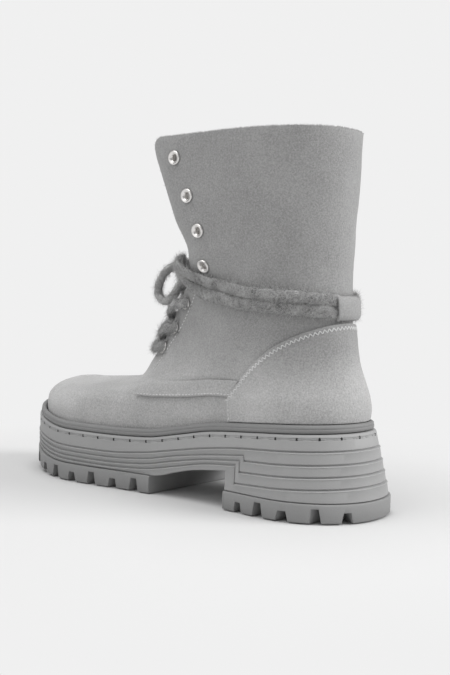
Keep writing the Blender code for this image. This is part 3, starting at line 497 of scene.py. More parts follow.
class BootForm:
    """The boot's own form: the sole's side lines and the outer surface of the upper."""

    relief_depth = 0.8 * MM
    relief_scale = 24.0
    calm_radius = 5 * MM
    calm_reach = 14 * MM
    calm_levels = 2.0
    fine_share = 0.3
    fine_ratio = 3.2
    flare_end = 0.62
    flare_length = 0.30
    spring_start = 0.75
    back_width = 6 * MM
    back_bend = 40.0
    band_levels = (1.0, 7.5)

    def __init__(self) -> None:
        """Starts with no edge worked out and finds each eyelet's seat, a frame with its Z outwards."""
        self.edges: dict[float, float] = {}
        self.seats: dict[str, Matrix] = {}
        for side in Side:
            for number, eyelet in enumerate(EYELETS, 1):
                angle = side.value * self.inset_angle(eyelet.level, eyelet.inset)
                centre, out = self.place(eyelet.level, angle), self.normal(eyelet.level, angle)
                self.seats[f"{side.label}_{number}"] = frame_at(centre, UP.cross(out), out)
        self.holes = [seat.to_translation() for seat in self.seats.values()]

    def point(self, along: float, across: float, height: float) -> Vector:
        """Place in the frame from a length along the boot, a width to the lateral side and a height."""
        return Vector((SOLE.length / 2 - along, -across, height))

    def flare(self, along: float) -> float:
        """How much wider the sole's foot is than its top edge, on each side."""
        share = (self.flare_end - along / SOLE.length) / self.flare_length
        return SOLE.side_flare * min(1.0, max(0.0, share))

    def line_height(self, column: str, along: float) -> float:
        """Height of one of the sole's side lines.

        Args:
            column: Name of the line.
            along: Place along the sole.

        Returns:
            The height above the floor.
        """
        share = along / SOLE.length
        lines = HEEL_LINES if share < CORNERS.get(column, -1.0) else FORE_LINES
        return SOLE.heel_stack * Curve.of(lines, column).at(share)

    def sole_top(self, along: float) -> float:
        """Height of the sole's top edge at a place along it."""
        return self.line_height("top", along)

    def tread_bottom(self, along: float) -> float:
        """Height of the tread's underside, which lifts at the toe."""
        start = self.spring_start * SOLE.length
        return SOLE.toe_spring * (max(0.0, along - start) / (SOLE.length - start)) ** 2

    def underside(self, along: float) -> float:
        """Height of the sole unit's underside over the heel, the arch and the forefoot."""
        if along < SOLE.heel_breast:
            return SOLE.tread_depth
        if along < SOLE.forefoot_start:
            return SOLE.heel_stack * Curve.of(ARCH, "height").at(along / SOLE.length)
        return self.tread_bottom(along) + SOLE.tread_depth + SOLE.gap

    def lean(self, height: float, along: float) -> float:
        """Share of the flare that is used up at a height of the sole's side."""
        top = self.sole_top(along)
        return min(1.0, max(0.0, (height - SOLE.tread_depth) / (top - SOLE.tread_depth)))

    def sides(
        self, shares: Sequence[float], height_at: Callable[[float], float], inset: float
    ) -> tuple[list[Vector], list[Vector]]:
        """Both sides of a ring round the sole, from the heel to the toe.

        Args:
            shares: Stations, as shares of the sole's length.
            height_at: Height of the ring at a place along the sole.
            inset: How far the ring lies inside the sole's edge.

        Returns:
            The lateral points and the medial points.
        """
        back = SOLE.heel_flare * self.lean(height_at(0.0), 0.0) + inset
        front = SOLE.length - inset
        lateral, medial = [], []
        for station in shares:
            along = station * SOLE.length
            along += back * max(0.0, 1 - station / SOLE.heel_end)
            along -= inset * max(0.0, 1 - (1 - station) / SOLE.toe_end)
            height = height_at(along)
            half = SOLE.forefoot_width * Curve.of(OUTLINE, "half").at(along / SOLE.length)
            half -= self.flare(along) * self.lean(height, along) + inset
            half *= rounded((along - back) / (front - back), SOLE.heel_end, SOLE.toe_end)
            middle = SOLE.forefoot_width * Curve.of(OUTLINE, "middle").at(along / SOLE.length)
            lateral.append(self.point(along, middle + half, height))
            medial.append(self.point(along, middle - half, height))
        return lateral, medial

    def place(self, level: float, angle: float) -> Vector:
        """Point of the upper's outer surface, before any relief.

        Args:
            level: Level of the section, from 0 to 13.
            angle: Angle round it, 0 at the back and pi in front.

        Returns:
            The point.
        """
        row = {name: Curve.of(SECTIONS, name).at(level) for name in SECTIONS[0]._fields}
        share = (1 - math.cos(angle)) / 2
        side = 1 if math.sin(angle) >= 0 else -1
        back, front = SOLE.length * row["back"], SOLE.length * row["front"]
        along = back + share * (front - back)
        station = along / SOLE.length
        half = SOLE.forefoot_width * (Curve.of(OUTLINE, "half").at(station) - row["tuck"])
        half -= self.flare(along)
        half = row["foot"] * half + (1 - row["foot"]) * UPPER.shaft_width * row["width"]
        taper_from = UPPER.taper_start
        half *= 1 - row["taper"] * max(0.0, (share - taper_from) / (1 - taper_from))
        ends = rounded(share, row["heel_end"], row["toe_end"])
        middle = row["foot"] * SOLE.forefoot_width * Curve.of(OUTLINE, "middle").at(station)
        chord = self.sole_top(back) + share * (self.sole_top(front) - self.sole_top(back))
        floor = row["hug"] * self.sole_top(along) + (1 - row["hug"]) * chord
        rise = row["back_rise"] + share * (row["front_rise"] - row["back_rise"])
        height = floor + UPPER.shaft_height * rise - UPPER.shaft_width * row["dip"] * ends
        return self.point(along, middle + side * half * ends, height)

    def normal(self, level: float, angle: float) -> Vector:
        """Outward direction of the upper's surface."""
        turn, lift = 0.02, 0.04
        low, high = max(0.0, level - lift), min(TOP_LEVEL, level + lift)
        across = self.place(level, angle + turn) - self.place(level, angle - turn)
        upward = self.place(high, angle) - self.place(low, angle)
        return upward.cross(across).normalized()

    def relief(self, level: float, place: Vector) -> float:
        """Gentle unevenness of worn leather, none at the sole and round the eyelets."""
        nearest = min((place - hole).length for hole in self.holes)
        calm = ease((nearest - self.calm_radius) / self.calm_reach) * ease((level - 1.0) / self.calm_levels)
        broad = noise.noise(place * self.relief_scale)
        fine = self.fine_share * noise.noise(place * self.fine_ratio * self.relief_scale)
        return self.relief_depth * calm * (broad + fine)

    def skin(self, level: float, angle: float, offset: float = 0.0) -> Vector:
        """Point of the finished surface of the upper, moved out along its normal.

        Args:
            level: Level of the section.
            angle: Angle round it.
            offset: Distance out of the surface.

        Returns:
            The point.
        """
        place = self.place(level, angle)
        return place + (offset + self.relief(level, place)) * self.normal(level, angle)

    def edge_angle(self, level: float, extra: float = 0.0) -> float:
        """Angle of the throat's edge at a level, or of a line a little further from the middle."""
        if level <= THROAT_LEVEL and extra == 0.0:
            return math.pi
        key = round(level + 100 * extra, 6)
        if key not in self.edges:
            gap = UPPER.shaft_width * Curve.of(THROAT, "gap").at(level) + extra
            self.edges[key] = search(math.pi / 2, math.pi, lambda a: self.place(level, a).y, -gap)
        return self.edges[key]

    def inset_angle(self, level: float, inset: float) -> float:
        """Angle of a line at a distance behind the throat's edge, measured on the surface."""
        edge = self.edge_angle(level)
        start = self.place(level, edge)
        return -search(-edge, -edge / 3, lambda a: (self.place(level, -a) - start).length, inset)

    def angle_at(self, level: float, along: float) -> float:
        """Angle at which a level passes a place along the boot."""
        return search(0.0, math.pi, lambda a: -self.place(level, a).x, along - SOLE.length / 2)

    def rise(self, level: float, angle: float) -> float:
        """Height of a point of the upper above the sole's top edge."""
        place = self.place(level, angle)
        return place.z - self.sole_top(SOLE.length / 2 - place.x)

    def level_at(self, along: float, rise: float) -> float:
        """Level that has a height above the sole's top edge at a place along the boot."""
        return search(*self.band_levels, lambda k: self.rise(k, self.angle_at(k, along)), rise)

    def level_on_angle(self, angle: float, rise: float) -> float:
        """Level that has a height above the sole's top edge at an angle round the shaft."""
        return search(0.0, TOP_LEVEL, lambda k: self.rise(k, angle), rise)

    def normal_near(self, place: Vector) -> Vector:
        """Rough outward direction at a place on the upper: away from the middle of the boot."""
        if abs(place.y) > self.back_width:
            return Vector((0.0, place.y, 0.0))
        return Vector((1.0, place.y * self.back_bend, 0.0))

    def turn_at(self, level: float, distance: float) -> float:
        """Angle at a distance round the surface from the middle of the back."""
        start = self.place(level, 0.0)
        return search(0.0, math.pi / 2, lambda a: (self.place(level, a) - start).length, distance)


def stations(start: float, end: float, count: int, extra: Sequence[float] = ()) -> list[float]:
    """Shares of the length, closer together at both ends, with extra ones put in.

    Args:
        start: First share.
        end: Last share.
        count: Number of steps.
        extra: Shares to put in, clear of the others.

    Returns:
        The sorted shares.
    """
    even = [start + (end - start) * (1 - math.cos(math.pi * i / count)) / 2 for i in range(count + 1)]
    kept = [share for share in even if all(abs(share - place) > STATION_GAP for place in extra)]
    return sorted(kept + list(extra))


def deselect() -> None:
    """Leaves nothing selected, since the CAD nodes come in selected."""
    bpy.ops.object.select_all(action="DESELECT")


def drape(name: str, rows: Rows) -> Piece:
    """Grid primitive whose corners are laid onto rows of places.

    Args:
        name: Name of the piece.
        rows: Rows of equally many places. Faces look out where rows rise and places run backwards.

    Returns:
        The piece, selected and active.
    """
    deselect()
    columns, count = len(rows[0]) - 1, len(rows) - 1
    bpy.ops.mesh.primitive_grid_add(x_subdivisions=columns, y_subdivisions=count, size=1.0)
    piece = bpy.context.object
    piece.name = piece.data.name = name
    for corner in piece.data.vertices:
        column = round((corner.co.x + 0.5) * columns)
        row = round((corner.co.y + 0.5) * count)
        corner.co = rows[row][columns - column]
    return piece


def activate(piece: Piece) -> None:
    """Makes a piece the only selected one, and active."""
    deselect()
    piece.select_set(True)
    bpy.context.view_layer.objects.active = piece


def weld(piece: Piece, closed: bool = True) -> Piece:
    """Merges places that lie on each other.

    Args:
        piece: The piece to weld.
        closed: Whether it is then a closed shell, whose faces are turned outwards.

    Returns:
        The piece.
    """
    activate(piece)
    bpy.ops.object.mode_set(mode="EDIT")
    bpy.ops.mesh.select_all(action="SELECT")
    bpy.ops.mesh.remove_doubles(threshold=MERGE_LENGTH)
    bpy.ops.mesh.dissolve_degenerate(threshold=TINY_LENGTH)
    if closed:
        bpy.ops.mesh.normals_make_consistent(inside=False)
    bpy.ops.object.mode_set(mode="OBJECT")
    return piece


def apply_modifiers(piece: Piece) -> None:
    """Applies every modifier of a piece, in order."""
    activate(piece)
    for modifier in list(piece.modifiers):
        bpy.ops.object.modifier_apply(modifier=modifier.name)


def thicken(
    piece: Piece, thickness: float, edge: float, segments: int = 2
) -> Piece:
    """Gives an open sheet its wall, inwards, and rounds the cut edges.

    Args:
        piece: The sheet.
        thickness: Thickness of the wall.
        edge: Radius of the rounded edges.
        segments: Faces across each rounded edge.

    Returns:
        The piece.
    """
    wall = piece.modifiers.new("Wall", "SOLIDIFY")
    wall.thickness = thickness
    wall.offset = -1.0
    wall.use_even_offset = True
    if edge > 0:
        add_bevel(piece, edge, segments, 60)
    apply_modifiers(piece)
    return piece


def add_bevel(piece: Piece, width: float, segments: int, angle: float) -> None:
    """Adds a bevel on the edges that turn by more than an angle in degrees."""
    bevel = piece.modifiers.new("Round edges", "BEVEL")
    bevel.width = width
    bevel.segments = segments
    bevel.limit_method = "ANGLE"
    bevel.angle_limit = math.radians(angle)


def smooth_out(piece: Piece, angle: float) -> None:
    """Shades a piece smooth, apart from edges that turn by more than an angle in degrees."""
    activate(piece)
    bpy.ops.object.shade_smooth_by_angle(angle=math.radians(angle))


def subtract(piece: Piece, cutter: Piece) -> None:
    """Cuts the space of a cutter out of a piece, and removes the cutter."""
    cut = piece.modifiers.new("Cut", "BOOLEAN")
    cut.operation = "DIFFERENCE"
    cut.object = cutter
    apply_modifiers(piece)
    bpy.data.objects.remove(cutter, do_unlink=True)


def panel(
    name: str, rows: Rows, thickness: float, edge: float, segments: int = 2
) -> Piece:
    """Sheet laid onto rows of places, with its wall and its rounded edges.

    Args:
        name: Name of the piece.
        rows: Rows of equally many places.
        thickness: Thickness of the wall.
        edge: Radius of the rounded edges.
        segments: Faces across each rounded edge.

    Returns:
        The piece.
    """
    piece = thicken(drape(name, rows), thickness, edge, segments)
    smooth_out(piece, PANEL_ANGLE)
    return piece


def copies(name: str, template: Piece, frames: Sequence[Matrix]) -> Piece:
    """One mesh with a copy of a small template in each frame. The template is then removed.

    Args:
        name: Name of the joined piece.
        template: The small piece that repeats.
        frames: Where each copy goes.

    Returns:
        The joined piece.
    """
    corners = [v.co.copy() for v in template.data.vertices]
    outlines = [tuple(face.vertices) for face in template.data.polygons]
    points: list[Vector] = []
    faces: list[tuple[int, ...]] = []
    for frame in frames:
        start = len(points)
        points.extend(frame @ corner for corner in corners)
        faces.extend(tuple(start + i for i in outline) for outline in outlines)
    mesh = bpy.data.meshes.new(name)
    mesh.from_pydata(points, [], faces)
    mesh.shade_smooth()
    bpy.data.objects.remove(template, do_unlink=True)
    piece = bpy.data.objects.new(name, mesh)
    bpy.context.scene.collection.objects.link(piece)
    return piece


def frame_at(centre: Vector, along: Vector, out: Vector) -> Matrix:
    """Frame with its X along a line and its Z out of the surface."""
    x = along.normalized()
    y = out.cross(x).normalized()
    z = x.cross(y)
    turn = Matrix((x, y, z)).transposed().to_4x4()
    return Matrix.Translation(centre) @ turn


def sizes(x: float, y: float, z: float) -> Matrix:
    """Scale in a frame's own directions."""
    return Matrix.Diagonal((x, y, z, 1.0))


class Rail(NamedTuple):
    """A point that a seam or a cord runs through, with the way out of the surface."""

    centre: Vector
    out: Vector


def walk(rail: Sequence[Rail], pitch: float) -> list[tuple[Vector, Vector, Vector]]:
    """Evenly spaced stops along a rail.

    Args:
        rail: The rail's points.
        pitch: Distance between stops.

    Returns:
        For each stop its centre, the way along and the way out.
    """
    stops, wanted, walked = [], pitch / 2, 0.0
    for a, b in zip(rail, rail[1:]):
        step = b.centre - a.centre
        length = step.length
        while length > 0 and walked + length >= wanted:
            share = (wanted - walked) / length
            stops.append((a.centre + step * share, step.normalized(), a.out.lerp(b.out, share).normalized()))
            wanted += pitch
        walked += length
    return stops


@dataclass(frozen=True)
class StitchRow:
    """A row of stitches."""

    pitch: float = 2.6 * MM
    length: float = 1.9 * MM
    radius: float = 0.38 * MM
    zigzag: float = 0.0

    def frames(self, rail: Sequence[Rail]) -> list[Matrix]:
        """Frames of the stitches along a rail.

        Args:
            rail: The line that the seam follows.

        Returns:
            A frame for each stitch, sized for a template of unit radius.
        """
        made = []
        for index, (centre, along, out) in enumerate(walk(rail, self.pitch)):
            lean = self.zigzag if index % 2 else -self.zigzag
            turned = frame_at(centre, along, out) @ Matrix.Rotation(lean, 4, "Z")
            made.append(turned @ sizes(self.length / 2, self.radius, self.radius))
        return made


def stitches(name: str, frames: Sequence[Matrix]) -> Piece:
    """Joined stitches, each a small oval of thread.

    Args:
        name: Name of the piece.
        frames: Frame of each stitch.

    Returns:
        The piece.
    """
    deselect()
    bpy.ops.mesh.primitive_uv_sphere_add(segments=6, ring_count=5, radius=1.0)
    template = bpy.context.object
    template.data.transform(Matrix.Rotation(math.pi / 2, 4, "Y"))
    return copies(name, template, frames)


@dataclass(frozen=True)
class Dress:
    """How a finished piece hangs on the frame."""

    material: bpy.types.Material
    slot: str

    def wear(self, piece: Piece, *nodes: str) -> Piece:
        """Gives a piece its material, hangs it on the boot and hides the CAD nodes it stands for.

        Args:
            piece: The finished piece.
            nodes: CAD nodes that it replaces.

        Returns:
            The piece.
        """
        piece.data.materials.clear()
        piece.data.materials.append(self.material)
        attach(piece, "root")
        if nodes:
            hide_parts(*nodes)
        log.info("%s: %d faces", piece.name, len(piece.data.polygons))
        return piece


@dataclass(frozen=True)
class Graph:
    """Puts nodes and links into one node tree."""

    tree: bpy.types.NodeTree

    @staticmethod
    def fill(node: bpy.types.Node, inputs: dict[str, object]) -> bpy.types.Node:
        """Gives inputs of a node their values, by name."""
        for label, value in inputs.items():
            node.inputs[label].default_value = value
        return node

    def add(self, kind: str, **inputs: object) -> bpy.types.Node:
        """New node with the values of its inputs."""
        return self.fill(self.tree.nodes.new(kind), inputs)

    def place_group(self, group: bpy.types.NodeTree, inputs: dict[str, object]) -> bpy.types.Node:
        """New node that holds a shared group, with its own values."""
        node = self.tree.nodes.new("ShaderNodeGroup")
        node.node_tree = group
        return self.fill(node, inputs)

    def fade(self, start: float, end: float) -> bpy.types.Node:
        """New smooth step from 0 at the start to 1 at the end."""
        node = self.fill(self.tree.nodes.new("ShaderNodeMapRange"), {"From Min": start, "From Max": end})
        node.interpolation_type = "SMOOTHSTEP"
        return node

    def link(self, *wires: tuple[bpy.types.Node, str, bpy.types.Node, str | int]) -> None:
        """Joins nodes, each wire from a node's output to a node's input."""
        for source, given, target, taken in wires:
            self.tree.links.new(source.outputs[given], target.inputs[taken])


class Effects:
    """Shader node groups that several finishes share."""

    # Painted top light on the suede: none above shaft_start, full below vamp_top, heights in metres.
    shaft_start = 0.106
    vamp_top = 0.068

    def __init__(self) -> None:
        """Builds each group once."""
        self.mottle = self.build_mottle()
        self.nap = self.build_nap()
        # low is the share of painted top light on the suede, full low down.
        self.low = self.build_low()

    @staticmethod
    def new_group(name: str, inputs: dict[str, object], output: str) -> Graph:
        """Empty node group with its sockets: numbers, and colours for inputs of four values.

        Args:
            name: Name of the group.
            inputs: Default value of each input by name.
            output: Name of the output, a colour if it is called Color.

        Returns:
            The group's graph.
        """
        number, colour = "NodeSocketFloat", "NodeSocketColor"
        group = bpy.data.node_groups.new(name, "ShaderNodeTree")
        for label, default in inputs.items():
            kind = number if isinstance(default, float) else colour
            group.interface.new_socket(label, in_out="INPUT", socket_type=kind).default_value = default
        kind = colour if output == "Color" else number
        group.interface.new_socket(output, in_out="OUTPUT", socket_type=kind)
        group.nodes.new("NodeGroupInput").name = "In"
        group.nodes.new("NodeGroupOutput").name = "Out"
        return Graph(group)

    @staticmethod
    def two_noises(graph: Graph, noises: dict[str, tuple[float, float]], share: str) -> bpy.types.Node:
        """Blend of two noises on the piece's own coordinates.

        Args:
            graph: The group's graph.
            noises: Detail and roughness of each noise, by the group's input for its scale.
            share: The group's input for the second noise's share.

        Returns:
            The blending node.
        """
        inner, place = graph.tree.nodes["In"], graph.add("ShaderNodeTexCoord")
        blend = graph.add("ShaderNodeMix")
        graph.link((inner, share, blend, "Factor"))
        for socket, (scale, (detail, roughness)) in zip("AB", noises.items()):
            grain = graph.add("ShaderNodeTexNoise", Detail=detail, Roughness=roughness)
            graph.link((place, "Object", grain, "Vector"), (inner, scale, grain, "Scale"))
            graph.link((grain, "Fac", blend, socket))
        return blend

    def build_mottle(self) -> bpy.types.NodeTree:
        """Colour that wanders in broad patches and in fine grain, between a dark and a light tone."""
        inputs = {
            "Dark": (0.3, 0.3, 0.3, 1.0), "Light": (0.5, 0.5, 0.5, 1.0),
            "Patch scale": 20.0, "Grain scale": 700.0, "Grain share": 0.5,
        }
        graph = self.new_group("Mottled colour", inputs, "Color")
        noises = {"Patch scale": (4.0, 0.6), "Grain scale": (3.0, 0.65)}
        blend = self.two_noises(graph, noises, "Grain share")
        stretch = graph.fill(graph.add("ShaderNodeMapRange"), {"From Min": 0.36, "From Max": 0.64})
        tone = graph.add("ShaderNodeMix")
        tone.data_type = "RGBA"
        inner, outer = graph.tree.nodes["In"], graph.tree.nodes["Out"]
        graph.link(
            (blend, "Result", stretch, "Value"), (stretch, "Result", tone, "Factor"),
            (inner, "Dark", tone, "A"), (inner, "Light", tone, "B"), (tone, "Result", outer, "Color"),
        )
        return graph.tree

    def build_nap(self) -> bpy.types.NodeTree:
        """Height of a nap or pile: fine fibres over soft dents."""
        inputs = {"Fibre scale": 1800.0, "Dent scale": 160.0, "Dent share": 0.4}
        graph = self.new_group("Nap height", inputs, "Height")
        blend = self.two_noises(graph, {"Fibre scale": (3.0, 0.7), "Dent scale": (2.0, 0.5)}, "Dent share")
        graph.link((blend, "Result", graph.tree.nodes["Out"], "Height"))
        return graph.tree

    def build_low(self) -> bpy.types.NodeTree:
        """Share of painted top light, a paler suede colour for light on the up-facing vamp and heel: full on
        the vamp and round the heel, none up the shaft.
        """
        graph = self.new_group("Brushed low down", {}, "Share")
        place, split = graph.add("ShaderNodeTexCoord"), graph.add("ShaderNodeSeparateXYZ")
        fade, outer = graph.fade(self.shaft_start, self.vamp_top), graph.tree.nodes["Out"]
        graph.link((place, "Object", split, "Vector"), (split, "Z", fade, "Value"))
        graph.link((fade, "Result", outer, "Share"))
        return graph.tree


@dataclass(frozen=True)
class Finish:
    """One finish: its two tones, its grain and its bump, and how it takes the light."""

    name: str
    dark: float
    light: float
    warmth: float = 0.0
    patch_scale: float = 22.0
    grain_scale: float = 700.0
    grain_share: float = 0.5
    fibre_scale: float = 1800.0
    dent_scale: float = 160.0
    dent_share: float = 0.3
    bump: float = 0.3
    depth: float = 0.3 * MM
    roughness: float = 0.95
    metallic: float = 0.0
    sheen: float = 0.0
    sheen_roughness: float = 0.5
    specular: float = 0.3
    # Gain of the painted top light: how much lighter the colour is made low down.
    low_gain: float = 1.0

    def tone(self, value: float) -> tuple[float, float, float, float]:
        """Grey of a value, a little warmer or cooler by the finish's warmth."""
        return (value * (1 + self.warmth), value, value * (1 - self.warmth), 1.0)

    def build(self, effects: Effects) -> bpy.types.Material:
        """Makes the material.

        Args:
            effects: The shared node groups.

        Returns:
            The material.
        """
        made = bpy.data.materials.new(self.name)
        made.use_nodes = True
        graph, shader = Graph(made.node_tree), made.node_tree.nodes["Principled BSDF"]
        graph.fill(shader, {
            "Roughness": self.roughness, "Metallic": self.metallic, "Specular IOR Level": self.specular,
            "Sheen Weight": self.sheen, "Sheen Roughness": self.sheen_roughness,
        })
        mottle = graph.place_group(effects.mottle, {
            "Dark": self.tone(self.dark), "Light": self.tone(self.light), "Patch scale": self.patch_scale,
            "Grain scale": self.grain_scale, "Grain share": self.grain_share,
        })
        nap = graph.place_group(effects.nap, {
            "Fibre scale": self.fibre_scale, "Dent scale": self.dent_scale, "Dent share": self.dent_share,
        })
        bump = graph.add("ShaderNodeBump", Strength=self.bump, Distance=self.depth)
        # Painted top light: the colour is made lighter low down, on the vamp and round the heel.
        if self.low_gain > 1.0:
            low, gain = graph.place_group(effects.low, {}), graph.add("ShaderNodeMix")
            gain.data_type, gain.blend_type = "RGBA", "MULTIPLY"
            graph.fill(gain, {"B": (self.low_gain, self.low_gain, self.low_gain, 1.0)})
            graph.link((low, "Share", gain, "Factor"), (mottle, "Color", gain, "A"))
            graph.link((gain, "Result", shader, "Base Color"))
        else:
            graph.link((mottle, "Color", shader, "Base Color"))
        graph.link((nap, "Height", bump, "Height"), (bump, "Normal", shader, "Normal"))
        return made


# Grey suede, made lighter low down by its gain as painted top light.
SUEDE = Finish(
    "Grey suede", 0.232, 0.376, 0.004, grain_scale=1050.0, grain_share=0.66, bump=0.9, depth=0.4 * MM,
    sheen=0.25, low_gain=1.42,
)
THREAD = Finish("Pale thread", 0.54, 0.74, grain_scale=1500.0, roughness=0.8)
FLEECE = Finish(
    "Short fleece", 0.42, 0.70, 0.02, grain_scale=420.0, fibre_scale=900.0, dent_scale=320.0,
    dent_share=0.6, bump=1.0, depth=1.0 * MM, sheen=0.4,
)
RUBBER = Finish(
    "Moulded rubber", 0.325, 0.360, patch_scale=14.0, grain_scale=1400.0, grain_share=0.4,
    bump=0.16, depth=0.15 * MM, roughness=0.62,
)
TREAD = Finish(
    "Tread rubber", 0.255, 0.285, patch_scale=18.0, grain_scale=1400.0, grain_share=0.4,
    bump=0.2, depth=0.15 * MM, roughness=0.68,
)
WELT_RUBBER = Finish(
    "Welt rubber", 0.215, 0.245, grain_scale=1400.0, bump=0.2, depth=0.15 * MM, roughness=0.6,
)
# Near-black blobs set in the moulded pits of the sole's stitch line: painted shade in the hollows.
PIT_SHADE = Finish("Dark stitch pit", 0.012, 0.03, roughness=0.9)
WOOL = Finish(
    "Grey wool lace", 0.11, 0.46, 0.004, patch_scale=130.0, grain_scale=900.0, grain_share=0.55,
    fibre_scale=1500.0, dent_scale=500.0, dent_share=0.5, bump=1.0, depth=0.8 * MM, sheen=0.3,
)
# The bow is the same lace: this lighter copy of its wool is painted light on the loops and ends.
LIT_BOW_WOOL = replace(WOOL, name="Grey wool bow", dark=0.20, light=0.56)
FUZZ = Finish(
    "Wool fibres", 0.30, 0.62, 0.004, patch_scale=160.0, grain_scale=600.0, roughness=1.0, sheen=0.3,
)
NICKEL = Finish(
    "Satin nickel", 0.70, 0.80, 0.02, grain_scale=2000.0, bump=0.05, depth=0.05 * MM,
    roughness=0.28, metallic=1.0, specular=0.5,
)


@dataclass
class Sole:
    """Welt, sole unit and treads, with the moulded stitch line round the top edge."""

    form: BootForm
    rubber: Dress
    tread: Dress
    welt: Dress
    pit: Dress
    steps: int = 76
    rim_steps: int = 60
    tread_steps: int = 44
    corner_margin: float = 0.35 * MM
    dot_pitch: float = 12.9 * MM
    dot_drop: float = 2.5 * MM
    dot_radius: float = 0.85 * MM
    bar_radius: float = 0.42 * MM
    lug_round: float = 0.55 * MM
    lug_angle: float = 40.0
    rib_angle: float = 38.0
    dashes: int = 8
    dash_length: float = 0.1
    wedge_reach: float = 22 * MM
    wedge_drop: float = 4 * MM
    wedge_depth: float = 17 * MM
    wedge_foot: float = 1.75
    wedge_top: float = 0.85
    least_channel: float = 7.5 * MM
    channels: tuple[tuple[float, ...], ...] = (
        (0.0, 1.2 * MM, 2.0 * MM, 3.5 * MM), (-5.5 * MM, 0.6 * MM, 3.5 * MM, 1.4 * MM),
        (5.5 * MM, 0.6 * MM, 3.5 * MM, 1.4 * MM),
    )

    def ring(
        self, shares: Sequence[float], height_at: Callable[[float], float], inset: float
    ) -> list[Vector]:
        """Closed ring round the sole, its first point repeated at its end."""
        lateral, medial = self.form.sides(shares, height_at, inset)
        return lateral + medial[::-1] + lateral[:1]

    def rings(
        self, shares: Sequence[float], line: Callable[[float], float], profile: Sequence[tuple[float, float]]
    ) -> list[list[Vector]]:
        """Rings that follow a line of the sole.

        Args:
            shares: Stations along the sole.
            line: Height of the line at a place.
            profile: Rise above the line and inset from the sole's edge, for each ring.

        Returns:
            The rings.
        """
        return [self.ring(shares, lambda s, r=rise: line(s) + r, inset) for rise, inset in profile]

    def lid(self, ring: list[Vector], shares: Sequence[float], keep: float) -> list[Vector]:
        """Ring drawn in towards the line between its two sides.

        Args:
            ring: The ring to draw in.
            shares: The ring's stations.
            keep: Share of the width that is kept.

        Returns:
            The narrower ring.
        """
        last = 2 * len(shares) - 1
        drawn = [((place + ring[last - i]) / 2).lerp(place, keep) for i, place in enumerate(ring[:-1])]
        return drawn + drawn[:1]

    def closed(
        self, name: str, rows: list[list[Vector]], shares: Sequence[float], below: Sequence[float],
        above: Sequence[float],
    ) -> Piece:
        """Closed piece from rings, with lids drawn in at both ends.

        Args:
            name: Name of the piece.
            rows: The rings, from the lowest to the highest.
            shares: The rings' stations.
            below: Shares of the width that the lower lid's rings keep.
            above: Shares of the width that the upper lid's rings keep.

        Returns:
            The piece.
        """
        lower = [self.lid(rows[0], shares, keep) for keep in below]
        upper = [self.lid(rows[-1], shares, keep) for keep in above]
        return weld(drape(name, lower + rows + upper))

    def unit(self) -> None:
        """The moulded unit: heel block, arch, ribbed sides and bed."""
        places = [SOLE.heel_breast / SOLE.length, SOLE.forefoot_start / SOLE.length, *CORNERS.values()]
        margin = self.corner_margin / SOLE.length
        extra = [place + side * margin for place in places for side in (-1, 1)]
        shares = stations(0.0, 1.0, self.steps, extra)
        form = self.form
        rows = self.rings(shares, form.underside, ((0.0, 0.7 * MM), (0.5 * MM, 0.1 * MM)))
        for column in ("lower", "middle", "upper", "plain"):
            line = partial(form.line_height, column)
            rows += self.rings(shares, line, [(rise * MM, inset * MM) for rise, inset in RIB])
        rows += self.rings(shares, form.sole_top, [(rise * MM, inset * MM) for rise, inset in TOP_EDGE])
        piece = self.closed("sole_unit", rows, shares, (0.0, 0.45, 0.9), (0.8, 0.4, 0.0))
        smooth_out(piece, self.rib_angle)
        self.rubber.wear(piece, "midsole")

    def welt_rim(self) -> None:
        """Round strip on the sole's edge, with a fine groove along its side."""
        high, wide, back = UPPER.welt_height, UPPER.welt_width, UPPER.welt_setback
        profile = (
            (0.4 * MM, back + 0.9 * MM), (0.18 * high, back + 0.2 * MM), (0.36 * high, back),
            (0.50 * high, back + 0.05 * MM), (0.55 * high, back + 0.30 * MM),
            (0.61 * high, back + 0.12 * MM), (0.82 * high, back + 0.30 * MM),
            (0.97 * high, back + 0.30 * wide), (high, back + 0.55 * wide),
            (0.90 * high, back + 0.85 * wide), (0.4 * MM, back + wide), (0.4 * MM, back + 0.9 * MM),
        )
        shares = stations(0.0, 1.0, self.rim_steps)
        piece = weld(drape("welt_rim", self.rings(shares, self.form.sole_top, profile)))
        smooth_out(piece, PANEL_ANGLE)
        self.welt.wear(piece, "welt")

    def stitch_line(self) -> None:
        """Moulded imitation of a stitch line: near-black blobs in its pits as painted shade, with a raised
        thread between them.
        """
        shares = stations(0.0, 1.0, self.rim_steps)
        inner, outer = self.rings(
            shares, self.form.sole_top, ((-self.dot_drop, 0.3 * MM), (-self.dot_drop, -1.0 * MM))
        )
        rail = [Rail(a, (b - a).normalized()) for a, b in zip(inner, outer) if (b - a).length > 0]
        pit = sizes(self.dot_radius, 1.7 * self.dot_radius, 0.5 * MM)
        bar = sizes(self.dash_length * self.dot_pitch, self.bar_radius, 0.4 * MM)
        pit_shades = [frame_at(*stop) @ pit for stop in walk(rail, self.dot_pitch)]
        stops = enumerate(walk(rail, self.dot_pitch / self.dashes))
        bars = [frame_at(*stop) @ bar for index, stop in stops if 1 < index % self.dashes < self.dashes - 1]
        # Painted shade: near-black blobs in the moulded pits.
        self.pit.wear(stitches("sole_edge_pits", pit_shades))
        self.rubber.wear(stitches("sole_edge_thread", bars))

